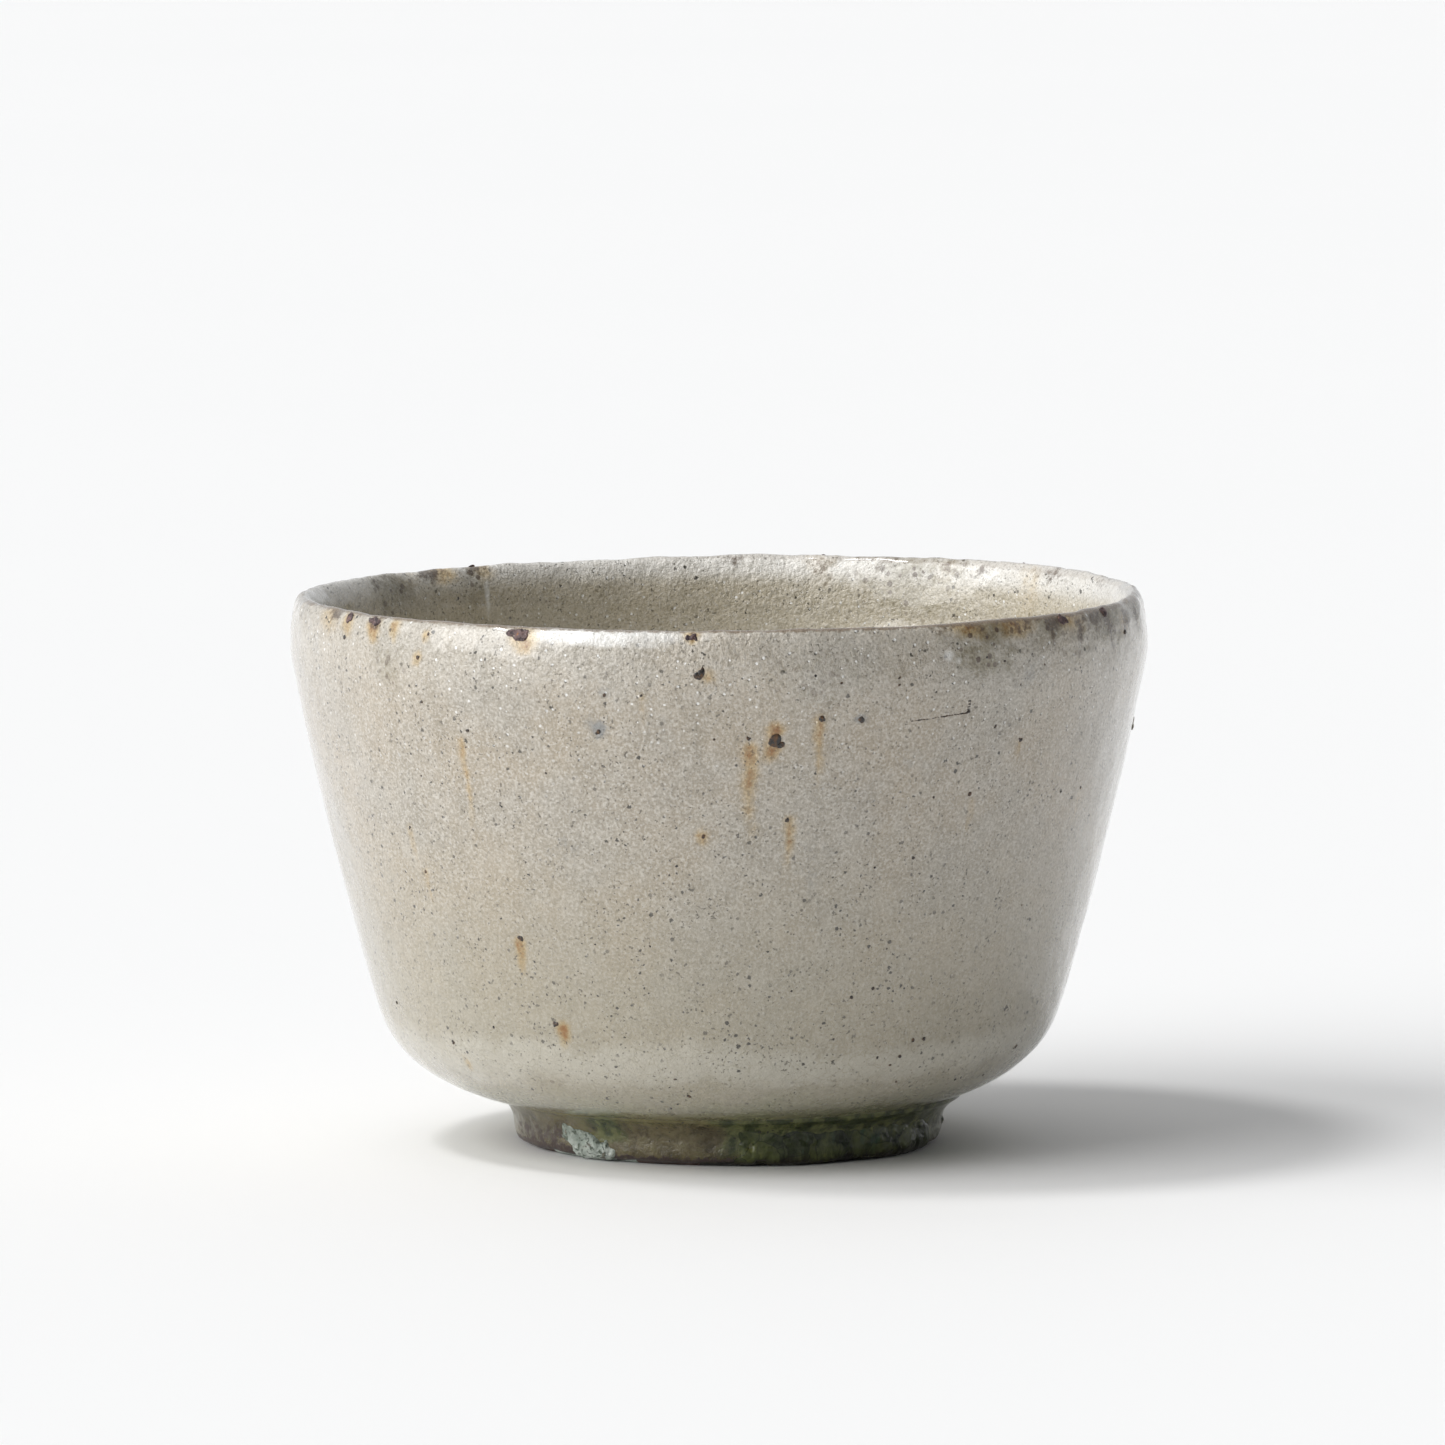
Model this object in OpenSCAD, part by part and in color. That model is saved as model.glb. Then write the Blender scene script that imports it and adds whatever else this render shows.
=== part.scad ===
// Matcha bowl: a wheel-thrown stoneware tea bowl on a luted foot ring. White slip and an ash
// glaze cover it inside and out, and iron, grit and pooled glass are fired onto that skin.
// The origin is the bowl's own axis on the plane that it stands on; +Z is up, +X is to the right.

/* [Bowl] */
// Height from the resting plane to the crest of the lip
bowl_h = 78.1; // [66:0.1:96]
// Widest outer diameter, at the shoulder just below the lip
bowl_d = 121.6; // [108:0.1:146]
// How far the shoulder lies below the crest of the lip
shoulder_drop = 7.7; // [5:0.1:11]
// How far the crest of the lip draws in from the shoulder's radius
lip_inset = 2; // [1.4:0.1:3]
// Outer diameter at the hip, where the wall turns in towards the foot
hip_d = 96; // [86:0.1:106]
// Height of the hip above the resting plane
hip_h = 18.2; // [16:0.1:26]
// Radius that the wall gains per millimetre of height, just above the hip
hip_lean = 0.36; // [0.25:0.01:0.45]

/* [Walls] */
// Thickness of the finished wall at the shoulder
lip_t = 4.4; // [3.6:0.1:6]
// Thickness of the finished wall just above the hip
wall_t = 5.4; // [4:0.1:7]
// Thickness of the floor above the foot joint
floor_t = 5; // [4:0.1:7]
// Diameter of the flat part of the floor
floor_d = 46; // [36:1:52]
// Depth of the shallow pool that tea settles in
pool_depth = 0.8; // [0.4:0.1:1.2]

/* [Foot] */
// Height of the foot ring, from the resting plane to the joint under the bowl
foot_h = 7.6; // [6:0.1:10]
// Outer diameter of the foot ring at its waist
foot_d = 60; // [52:0.1:64]
// Width of the foot ring, from its waist to its inner edge where it stands
foot_w = 4.8; // [4:0.1:7]
// Distance from the bowl's axis to the foot ring's axis
foot_shift = 1.3; // [0:0.1:2]
// How far the ring widens into the bowl above its waist
foot_flare = 1; // [0.5:0.1:2]
// Width of the rounding under the ring's outer edge
foot_round = 1.9; // [1:0.1:2.2]
// Height of the trimming peak inside the ring
peak_h = 1.4; // [0.6:0.1:2]

/* [Coats] */
// Thickness of the white slip
slip_t = 0.3; // [0.2:0.05:0.4]
// Thickness of the glaze
glaze_t = 0.4; // [0.3:0.05:0.6]
// Height of the line where the glaze stops on the foot
glaze_line = 2.2; // [1.6:0.1:3]

/* [Fired marks] */
// How far the drops of iron stand out of the glaze
lip_iron_proud = 0.45; // [0.35:0.05:0.6]
// Diameter of the grain of grit on the wall
grit_d = 2.4; // [1.6:0.1:3]
// Thickness of the pooled green glass on the foot
pool_t = 0.5; // [0.3:0.1:0.8]
// Width of the stilt scar on the foot
scar_w = 5.6; // [3:0.1:6]
// Diameter of the glass bead at the foot
bead_d = 1.7; // [1:0.1:2]

/* [Hidden] */
$fn = 96;
seat_facets = 720;
past = 1;            // how far a cutter runs past what it cuts
coat_t = slip_t + glaze_t;
bowl_r = bowl_d / 2;
hip_r = hip_d / 2;
foot_r = foot_d / 2;
foot_in_r = foot_r - foot_w;
joint_r = foot_r + foot_flare;
floor_r = floor_d / 2;
pool_r = floor_r - 6;
shoulder_z = bowl_h - shoulder_drop;
underside_z = foot_h - coat_t;
floor_z = foot_h + floor_t;
pool_z = floor_z - pool_depth;

// The finished section is one path: from the axis out under the bowl, up the wall, over the lip
// and down the inside to the axis. Clay lies on its left, and each coat is a band at a depth.
flat_r = joint_r + foot_shift + 0.2;
hip = [hip_r, hip_h];
hip_dir = unit([hip_lean, 1]);
shoulder = [bowl_r, shoulder_z];
crest = [bowl_r - lip_inset, bowl_h];
inner_shoulder = shoulder - [lip_t, 0];
inner_hip = hip + 6 * hip_dir - [wall_t, 0];
underside = curve([flat_r + 0.6, underside_z], [flat_r + 1.6, underside_z],
                  hip - 9 * hip_dir, hip, 9);
wall = curve(hip, hip + 5 * hip_dir, shoulder - [0, 5.3], shoulder, 8);
lip = curve(shoulder, shoulder + [0, 0.7 * shoulder_drop], crest + [1.2, 0], crest, 9);
lip_inside = curve(crest, crest - [1.6, 0], inner_shoulder + [0, 3], inner_shoulder, 6);
wall_inside = curve(inner_shoulder, inner_shoulder - [0, 8], inner_hip + 8 * hip_dir, inner_hip, 7);
floor_edge = curve(inner_hip, inner_hip - 7 * hip_dir, [floor_r + 9, floor_z],
                   [floor_r, floor_z], 7);
pool_edge = curve([floor_r, floor_z], [floor_r - 3, floor_z], [pool_r + 3, pool_z],
                  [pool_r, pool_z], 5);
outside = concat([[0, underside_z], [flat_r, underside_z]], underside, tail(wall), tail(lip));
inside = concat(tail(lip_inside), tail(wall_inside), tail(floor_edge), tail(pool_edge),
                [[pool_r - 1, pool_z], [0, pool_z]]);
section = concat(outside, inside);
lip_index = len(outside) - 1;
last_index = len(section) - 1;

// The foot ring: a rounded standing edge, a straight waist, and a flare into the joint.
foot_edge = [for (a = [-90:30:0]) [foot_r - foot_round * (1 - cos(a)),
                                   glaze_line * (1 + sin(a))]];
foot_waist = curve([foot_r, foot_h - 3.6], [foot_r, foot_h - 2], [joint_r - 0.4, underside_z - 0.4],
                   [joint_r, underside_z], 5);
foot_skin = concat([[foot_r, glaze_line], [foot_r, glaze_line + 0.8]], foot_waist);

// What is fired onto the bowl. Spots are [turn about the axis, percent of the height, diameter].
spots = [[268, 92, 1.7], [277, 80, 2.2], [274, 81, 1], [283, 84.5, 1.2], [289, 84, 1.2],
         [310, 81, 1], [307, 69, 1], [315, 78, 1], [254, 82, 1.2], [268, 63.5, 1],
         [235, 81, 0.9], [221, 62, 0.9], [222, 54.5, 0.9], [239, 43.5, 1.2], [243, 28, 1.2],
         [219, 22.5, 1], [262, 18.5, 1], [304, 25, 0.9], [307, 25, 0.9], [333, 20.5, 1.2],
         [332, 68, 0.9], [297, 22, 0.9], [160, 77, 1.2], [131, 56, 1], [104, 84.5, 1.4],
         [82, 38.5, 1], [57, 73, 1.2], [30, 51, 1]];
// Drops of iron on the lip are [turn, diameter].
drops = [[211, 2.2], [218, 2.4], [243, 2.6], [267, 2.2], [322, 2.6], [334, 2.4],
          [136, 2.2], [128, 2.4], [75, 2.2], [42, 2]];
drop_step = 7;      // the drops sit this many steps up the curve of the lip
grit_z = 0.76 * bowl_h;
grit_proud = 0.65;
glass_turns = [272, 338];
scar_turn = 228;
bead_turn = 357;

function unit(v) = v / norm(v);
function tail(path) = [for (i = [1:len(path) - 1]) path[i]];
function slice(path, from, to) = [for (i = [from:to]) path[i]];
function reversed(path) = [for (i = [len(path) - 1:-1:0]) path[i]];
function bezier(a, b, c, d, t) =
    pow(1 - t, 3) * a + 3 * pow(1 - t, 2) * t * b + 3 * (1 - t) * t * t * c + pow(t, 3) * d;
function curve(a, b, c, d, steps) = [for (i = [0:steps]) bezier(a, b, c, d, i / steps)];
function heading(path, i) = unit(path[min(i + 1, len(path) - 1)] - path[max(i - 1, 0)]);
function inset(path, depth) =
    [for (i = [0:len(path) - 1]) path[i] + depth * [-heading(path, i)[1], heading(path, i)[0]]];
// The outside radius of the finished wall at one height
function radius_at(z) = lookup(z, [for (p = outside) if (p[0] > flat_r) [p[1], p[0]]]);
// The foot's skin moved out by a thickness that grows from nothing at the glaze line
function foot_coat(t) =
    concat([foot_skin[0], [foot_r + 0.7 * t, foot_skin[1][1]]],
           slice(inset(foot_skin, -t), 2, len(foot_skin) - 2),
           [[joint_r + 1.5 * t, underside_z]]);

// The band of the finished section between two depths, from one point of its path to another
module coat(from, to, outer_depth, inner_depth) {
    rotate_extrude()
        polygon(concat(slice(inset(section, outer_depth), from, to),
                       reversed(slice(inset(section, inner_depth), from, to))));
}

// A round bar along the radius, at one turn and height
module radial_bar(turn, z, d, r_from, r_to) {
    rotate([0, 0, turn])
        translate([r_from, 0, z])
            rotate([0, 90, 0])
                cylinder(h = r_to - r_from, d = d);
}

module spot_bars() {
    for (spot = spots) {
        z = spot[1] / 100 * bowl_h;
        radial_bar(spot[0], z, spot[2], radius_at(z) - 3, bowl_r + past);
    }
}

// A grain that stands out of the finished wall by a height, at one turn
module grain(turn, r, z, d) {
    rotate([0, 0, turn])
        translate([r, 0, z])
            sphere(d = d);
}

module foot_cut() {
    translate([foot_shift, 0, underside_z - past])
        cylinder(h = coat_t + 2 * past, r = joint_r);
}

module scar_bar() {
    radial_bar(scar_turn, glaze_line + 1.2, scar_w, foot_r - 2, joint_r + past);
}

// The finished shapes as single solids, which seat the grains. Their many facets keep the thin
// grains that they cut true.
module finished_bowl() {
    rotate_extrude($fn = seat_facets)
        polygon(section);
}

module finished_foot() {
    rotate_extrude($fn = seat_facets)
        polygon(concat([[0, 0]], foot_edge, tail(foot_coat(glaze_t)), [[0, underside_z]]));
}

module clay_bowl() {
    color([0.36, 0.28, 0.24])
        union() {
            rotate_extrude()
                polygon(inset(section, coat_t));
            translate([foot_shift, 0, foot_h - peak_h])
                cylinder(h = peak_h + past, r1 = 1.5, r2 = 9);
        }
}

module foot_ring() {
    color([0.33, 0.25, 0.22])
        translate([foot_shift, 0, 0])
            rotate_extrude()
                polygon(concat([[foot_in_r, 0]], foot_edge, foot_waist,
                               [[joint_r, foot_h], [foot_in_r - 1.4, foot_h],
                                [foot_in_r - 0.7, 1]]));
}

module white_slip() {
    color([0.93, 0.91, 0.86])
        difference() {
            coat(0, last_index, glaze_t, coat_t);
            foot_cut();
        }
}

module outer_glaze() {
    color([0.78, 0.77, 0.73])
        difference() {
            coat(0, lip_index, 0, glaze_t);
            foot_cut();
            spot_bars();
        }
}

module inner_glaze() {
    color([0.72, 0.71, 0.65])
        coat(lip_index, last_index, 0, glaze_t);
}

module foot_glaze() {
    color([0.62, 0.64, 0.5])
        translate([foot_shift, 0, 0])
            difference() {
                rotate_extrude()
                    polygon(concat(foot_skin, reversed(tail(foot_coat(glaze_t)))));
                scar_bar();
            }
}

module green_glass() {
    glass_out = tail(foot_coat(glaze_t));
    count = len(glass_out) - 1;
    color([0.36, 0.46, 0.28])
        translate([foot_shift, 0, 0])
            rotate([0, 0, glass_turns[0]])
                rotate_extrude(angle = glass_turns[1] - glass_turns[0])
                    polygon(concat(glass_out,
                                   [for (i = [count - 1:-1:1])
                                       glass_out[i] + [pool_t * sin(180 * i / count), 0]]));
}

module stilt_scar() {
    color([0.85, 0.84, 0.8])
        translate([foot_shift, 0, 0])
            intersection() {
                rotate_extrude()
                    polygon(concat(foot_skin, reversed(tail(foot_coat(glaze_t + 0.2)))));
                scar_bar();
            }
}

module iron_spots() {
    color([0.25, 0.14, 0.08])
        intersection() {
            coat(0, lip_index, 0, glaze_t);
            spot_bars();
        }
}

module lip_iron() {
    color([0.3, 0.2, 0.2])
        difference() {
            for (drop = drops) {
                centre = inset(lip, drop[1] / 2 - lip_iron_proud)[drop_step];
                grain(drop[0], centre[0], centre[1], drop[1]);
            }
            finished_bowl();
        }
}

module kiln_grit() {
    color([0.55, 0.5, 0.42])
        difference() {
            grain(0, radius_at(grit_z) - grit_d / 2 + grit_proud, grit_z, grit_d);
            finished_bowl();
        }
}

module glass_bead() {
    color([0.45, 0.5, 0.3])
        translate([foot_shift, 0, 0])
            difference() {
                grain(bead_turn, foot_r + 0.3, glaze_line + 0.7, bead_d);
                finished_foot();
            }
}

clay_bowl();
foot_ring();
white_slip();
outer_glaze();
inner_glaze();
foot_glaze();
green_glass();
stilt_scar();
iron_spots();
lip_iron();
kiln_grit();
glass_bead();
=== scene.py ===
import math
import random

import bpy
import numpy as np
from mathutils import Euler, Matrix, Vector, noise
from bpy.props import FloatProperty, FloatVectorProperty, IntProperty, PointerProperty


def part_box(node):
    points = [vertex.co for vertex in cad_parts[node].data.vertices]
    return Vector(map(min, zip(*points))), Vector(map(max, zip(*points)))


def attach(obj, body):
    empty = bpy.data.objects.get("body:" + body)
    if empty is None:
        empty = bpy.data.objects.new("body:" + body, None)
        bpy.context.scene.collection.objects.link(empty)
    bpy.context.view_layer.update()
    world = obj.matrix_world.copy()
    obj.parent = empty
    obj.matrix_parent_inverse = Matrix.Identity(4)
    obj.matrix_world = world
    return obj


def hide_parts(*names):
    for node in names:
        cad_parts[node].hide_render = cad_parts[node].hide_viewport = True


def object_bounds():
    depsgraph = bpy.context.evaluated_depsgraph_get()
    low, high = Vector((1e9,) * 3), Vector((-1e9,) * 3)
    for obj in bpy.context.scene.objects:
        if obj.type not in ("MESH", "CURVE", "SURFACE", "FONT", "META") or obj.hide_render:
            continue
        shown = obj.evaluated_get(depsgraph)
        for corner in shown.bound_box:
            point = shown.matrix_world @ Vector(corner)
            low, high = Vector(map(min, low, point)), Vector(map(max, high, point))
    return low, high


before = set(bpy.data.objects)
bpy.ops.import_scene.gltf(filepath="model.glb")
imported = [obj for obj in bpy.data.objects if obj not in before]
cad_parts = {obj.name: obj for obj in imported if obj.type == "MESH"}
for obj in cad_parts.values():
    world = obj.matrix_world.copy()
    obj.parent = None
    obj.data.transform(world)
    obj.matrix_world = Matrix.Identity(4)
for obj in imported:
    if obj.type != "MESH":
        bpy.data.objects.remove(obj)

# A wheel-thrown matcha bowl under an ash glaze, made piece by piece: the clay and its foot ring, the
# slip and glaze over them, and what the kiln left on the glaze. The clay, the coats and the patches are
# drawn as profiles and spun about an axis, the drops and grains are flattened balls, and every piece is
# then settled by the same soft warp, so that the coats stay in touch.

bl_info = {
    "name": "Matcha Bowl",
    "version": (1, 0, 0),
    "blender": (4, 5, 0),
    "location": "View3D > Sidebar > Matcha Bowl",
    "description": "Throws, coats and fires a stoneware tea bowl, one piece at a time",
    "category": "Add Mesh",
}

MM = 0.001
CAD_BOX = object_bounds()

CLAY_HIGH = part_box("clay_bowl")[1]
SLIP_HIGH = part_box("white_slip")[1]
GLAZE_LOW, GLAZE_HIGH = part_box("outer_glaze")
RING_LOW, RING_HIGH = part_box("foot_ring")

# Vertices closer than this are one vertex, and a vertex group holds this many levels of weight.
MERGE = 1e-6
WEIGHT_LEVELS = 50

# Steps along the profile: the outside under the bowl, up its wall and over its lip, and the inside
# down from the lip, down the wall, round the edge of the floor and into the pool.
BURIED_OUTSIDE = (10, 20, 10)
BURIED_INSIDE = (6, 16, 8, 4)
SEEN_OUTSIDE = (26, 88, 34)
SEEN_INSIDE = (26, 56, 24, 10)

# Iron spots are [turn about the axis in degrees, percent of the height, diameter in millimetres].
IRON_SPOTS = [
    (267.8, 93.0, 2.5), (277.5, 80.6, 2.6), (274, 81, 1.0), (283.5, 84.5, 1.1), (289, 83.9, 1.2),
    (310, 81, 0.8), (307, 69, 0.9), (315, 78, 0.9), (254, 82, 1.2), (268, 63.5, 1.0),
    (234.5, 81, 0.8), (220.5, 62, 0.8), (222, 54.3, 0.8), (238.5, 43.5, 1.3), (242.5, 28, 1.2),
    (219, 22.4, 0.9), (262.5, 18.5, 0.9), (304, 24.7, 0.9), (306.3, 24.7, 0.9), (332.5, 20.3, 1.4),
    (332, 67.7, 0.7), (297.5, 21.8, 0.6), (160, 77, 1.2), (131, 56, 1.0), (104, 84.5, 1.4),
    (82, 38.5, 1.0), (57, 73, 1.2), (30, 51, 1.0),
]
# Smaller specks of iron around them, in the same form.
IRON_SPECKS = [
    (294, 89.9, 0.7), (294, 91.2, 0.55), (282.5, 92, 0.55), (286, 90.6, 0.5), (299.5, 88.2, 0.4),
    (298.5, 91.2, 0.4), (313.5, 88.2, 0.6), (307.5, 93.6, 0.5), (310.5, 92.6, 0.5), (318, 91.5, 0.5),
    (301, 69, 0.4), (279.5, 66.2, 0.8), (299, 58.2, 0.6), (293, 56.9, 0.4), (326.5, 67.6, 0.4),
    (255, 88.7, 0.7), (260, 88.7, 0.6), (269.5, 80.9, 0.6), (234, 78, 0.5), (227.5, 85.8, 0.5),
    (238.5, 67.6, 0.4), (232, 66.2, 0.4), (202.5, 27.9, 0.7), (230, 26.4, 0.6), (259.5, 43.4, 0.5),
    (251, 43.4, 0.4), (259, 34.8, 0.4), (264.5, 15.1, 0.9), (261, 20.7, 0.6), (271, 31, 0.4),
    (289, 25.7, 0.6), (302, 21.8, 0.6), (300.5, 20.2, 0.6), (303.5, 16.7, 0.5), (295, 34.8, 0.6),
    (291.5, 33.4, 0.7), (281.5, 34.8, 0.4), (296.5, 42, 0.4), (322.5, 47.5, 0.4), (287, 51.5, 0.4),
    (287, 29.8, 0.4), (319, 15.5, 0.6), (328, 15.5, 0.6), (211, 95.5, 0.7), (340, 94.6, 0.9),
    (227, 93.6, 1.0), (228.5, 97.8, 0.7), (225, 72, 0.4), (246, 74, 0.4), (264, 58, 0.4),
]
# Drops of iron on the lip are [turn, diameter in millimetres].
LIP_DROPS = [
    (211, 1.6), (217.5, 2.0), (243, 2.9), (266.5, 1.4), (322.5, 2.1), (334, 2.0),
    (136, 2.4), (128, 2.4), (75, 2.0), (42, 2.0),
]
# Runs of amber in the glaze are [turn, percent of the height, width, length in millimetres, strength].
AMBER_RUNS = [
    (277.6, 82.2, 2.9, 1.6, 1.0), (277.2, 79.2, 2.4, 2.6, 1.0), (274.2, 79, 2.6, 15, 0.8),
    (283.3, 84, 1.8, 11, 0.75), (279.8, 66, 1.9, 9, 0.7), (268.3, 92, 2.9, 1.6, 0.55),
    (260, 88.5, 1.4, 6, 0.42), (233.4, 79, 1.5, 17, 0.6), (220.5, 62, 1.4, 7, 0.5),
    (222, 54, 1.3, 6, 0.5), (238.3, 42.6, 2.0, 5.5, 0.9), (243.8, 27.3, 2.4, 3.5, 0.9),
    (220.5, 19, 1.7, 2, 0.7), (315, 78, 1.4, 4, 0.5), (307.8, 68, 1.4, 8, 0.4),
    (332, 67, 1.5, 5, 0.45), (267.6, 63.4, 2.0, 1.8, 0.8), (217.5, 98, 3.0, 3, 0.95),
    (222, 98.5, 2.2, 3, 0.8), (228.2, 97.5, 1.7, 1.6, 0.8), (227, 93.4, 2.0, 1.8, 0.75),
    (243.5, 97.5, 4.6, 2.4, 0.9), (266.5, 99, 2.4, 1.6, 0.8), (305, 99.4, 8, 2.6, 0.75),
    (313, 99.4, 9, 2.8, 0.85), (324, 99.3, 9, 3, 0.6), (205, 99, 8, 4, 0.5),
    (211, 98.4, 4, 3, 0.7), (340, 97, 4, 3, 0.6),
    (127, 99.4, 5, 3, 0.6), (134, 99.4, 6, 3, 0.8), (141, 99, 8, 3, 0.3), (75, 99, 5, 4, 0.3),
    (55, 99, 5, 5, 0.25), (38, 98, 6, 9, 0.3), (160, 77, 2.6, 9, 0.6), (104, 84, 2.4, 6, 0.8),
    (57, 73, 2.2, 11, 0.5), (30, 51, 1.6, 6, 0.6), (131, 56, 1.8, 5, 0.5), (185, 90, 2, 9, 0.4),
]
# Brown smudges, where iron soaked the glaze at the lip, in the same form.
BROWN_SMUDGES = [
    (331, 98.6, 11, 3, 0.75), (321, 98.8, 5, 2, 0.9), (340, 96, 2.2, 4, 0.8),
    (307, 98.4, 8, 2.5, 0.5),
    (326, 98, 2.4, 6, 0.8), (335, 98, 3, 7, 0.85), (315, 99, 7, 2, 0.7), (346, 98, 4, 5, 0.7),
    (341, 98.4, 4, 4, 0.8), (320, 98, 2, 5, 0.6), (302, 99.4, 8, 1.2, 0.5),
    (66, 99.4, 12, 1.8, 0.5), (34, 99.4, 10, 1.8, 0.55), (48, 99.2, 4, 2.4, 0.6), (88, 99.4, 6, 1.6, 0.45),
    (207, 99.2, 6, 1.6, 0.8), (217.5, 99, 3.2, 2, 0.9), (243, 98.6, 4.4, 1.6, 0.75),
    (350, 98.5, 8, 2, 0.5), (136, 99.4, 7, 2.4, 0.9), (128, 99.4, 6, 2, 0.8), (148, 99.2, 10, 2, 0.5),
    (75, 99, 4, 4, 0.6), (55, 99, 4, 3, 0.5), (305, 92.8, 8, 3, 0.3), (18, 99, 9, 2, 0.4),
]
# Olive smudges, where ash soaked in, in the same form.
OLIVE_SMUDGES = [
    (306.5, 93.2, 10, 3, 0.75), (311, 94, 5, 4, 0.5), (222, 91, 9, 5, 0.4), (309, 99.3, 13, 4, 0.95),
    (320, 99, 8, 4, 0.8), (335, 98.6, 14, 6, 0.9), (348, 99, 11, 6, 0.85), (325, 93, 8, 3, 0.3),
    (116, 93, 5, 9, 0.75), (146, 98, 12, 7, 0.7), (128, 98.5, 5, 8, 0.6), (60, 98, 22, 9, 0.6),
    (238, 16.5, 5, 2, 0.4), (90, 92, 9, 8, 0.4), (180, 90, 8, 9, 0.4), (283, 88, 16, 3, 0.25),
]
# Pale scratches, and a painted highlight, in the same form. The first is the painted highlight: the
# white sheen on the front of the lip, which doesn't move with the light.
PALE_SCRATCHES_AND_SHEEN = [
    (254, 98.4, 36, 1.8, 0.75), (126.5, 96.6, 0.9, 7, 1.0), (301.5, 94.6, 2.2, 1.4, 0.8),
    (303, 93.6, 1.4, 1, 0.8),
]
# Cool, blue-grey bruises around buried iron, in the same form.
BLUE_BRUISES = [
    (254, 82.4, 3.0, 2, 0.9), (255, 88.8, 2.2, 1, 0.6), (274, 81, 2.0, 1, 0.6), (289, 84, 2.4, 1, 0.7),
    (315, 90, 7, 3, 0.3), (262, 83, 5, 3, 0.3), (297, 76, 6, 5, 0.25), (248, 60, 7, 6, 0.25),
    (283, 60, 7, 9, 0.25), (95, 70, 8, 8, 0.4), (20, 60, 8, 8, 0.3),
]


def length(name, description, default):
    return FloatProperty(name=name, description=description, default=default,
                         unit="LENGTH", subtype="DISTANCE")


def angle(name, description, degrees):
    return FloatProperty(name=name, description=description, default=math.radians(degrees),
                         subtype="ANGLE")


def colour(name, description, default):
    return FloatVectorProperty(name=name, description=description, default=default, size=3,
                               subtype="COLOR")


class BowlSizes(bpy.types.PropertyGroup):
    """Sizes of the thrown bowl."""

    hip_radius: length("Hip radius", "Outer radius where the wall turns in towards the foot", 48 * MM)
    hip_height: length("Hip height", "Height of the hip above the table", 18.2 * MM)
    hip_lean: FloatProperty(
        name="Hip lean", description="Radius gained per unit of height, just above the hip", default=0.36)
    shoulder_drop: length(
        "Shoulder drop", "Depth of the widest point below the crest of the lip", 7.7 * MM)
    lip_inset: length("Lip inset", "How far the crest of the lip draws in from the shoulder", 2 * MM)
    lip_wall: length("Wall at the shoulder", "Thickness of the finished wall at the shoulder", 4.4 * MM)
    hip_wall: length(
        "Wall above the hip", "Thickness of the finished wall just above the hip", 5.4 * MM)
    floor_radius: length("Floor radius", "Radius of the flat part of the floor", 23 * MM)
    floor_thickness: length("Floor thickness", "Thickness of the floor above the foot joint", 5 * MM)
    pool_depth: length("Pool depth", "Depth of the shallow pool that tea settles in", 0.8 * MM)
    columns: IntProperty(
        name="Columns", description="Number of faces around the outer glaze", default=512)


class FootSizes(bpy.types.PropertyGroup):
    """Sizes of the foot ring."""

    width: length("Ring width", "Width of the ring where it stands", 4.8 * MM)
    flare: length("Flare", "How far the ring widens into the bowl above its waist", 1 * MM)
    rounding: length("Rounding", "Width of the rounding under the outer edge", 1.9 * MM)
    glaze_line: length("Glaze line", "Height of the line where the glaze stops on the foot", 2.2 * MM)
    peak_height: length("Trimming peak", "Height of the peak of clay left inside the ring", 1.4 * MM)


class FiredColours(bpy.types.PropertyGroup):
    """Colours of the clay, the glaze and what was fired onto it."""

    warm_glaze: colour("Warm glaze", "Ash glaze where it is thin and warm", (0.412, 0.350, 0.265))
    cool_glaze: colour("Cool glaze", "Ash glaze where it is thick and cool", (0.388, 0.350, 0.290))
    amber: colour("Amber", "Runs of iron in the glaze", (0.24, 0.10, 0.013))
    brown: colour("Iron brown", "Glaze soaked with iron at the lip", (0.080, 0.048, 0.024))
    blue: colour("Blue bruise", "Cool tint over buried iron", (0.21, 0.225, 0.235))
    olive: colour("Olive smudge", "Glaze soaked with ash", (0.20, 0.17, 0.095))
    green: colour("Ash green", "Glaze where the ash pools under the hip", (0.25, 0.27, 0.13))
    clay: colour("Clay", "Bare fired stoneware", (0.085, 0.05, 0.036))


class StudioSettings(bpy.types.PropertyGroup):
    """The table, the lights and the camera."""

    camera_distance: length("Camera distance", "Distance from the camera to the bowl's axis", 1.6)
    camera_height: length("Camera height", "Height of the camera above the table", 0.221)
    aim_height: length("Aim height", "Height on the bowl's axis that the camera points at", 59.4 * MM)
    lens: FloatProperty(
        name="Lens", description="Focal length on a 36 mm sensor", default=282.5, unit="CAMERA")
    window_strength: FloatProperty(
        name="Window strength", description="Strength of the broad light from the left", default=2.6)
    window_angle: angle("Window width", "Width of the broad light, as an angle", 54)
    ceiling_strength: FloatProperty(
        name="Ceiling strength", description="Strength of the soft light overhead", default=0.85)
    ceiling_angle: angle("Ceiling width", "Width of the soft light overhead, as an angle", 11)


# ---------------------------------------------------------------- profiles of the thrown clay

def unit(v):
    return v / v.length


def bezier(a, b, c, d, steps):
    """Points along one cubic curve, with both of its ends."""
    points = []
    for step in range(steps + 1):
        t = step / steps
        s = 1 - t
        points.append(s ** 3 * a + 3 * s * s * t * b + 3 * s * t * t * c + t ** 3 * d)
    return points


def joined(*stretches):
    """Stretches of a profile end to end, without their doubled ends."""
    path = list(stretches[0])
    for stretch in stretches[1:]:
        path.extend(stretch[1:])
    return path


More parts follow.
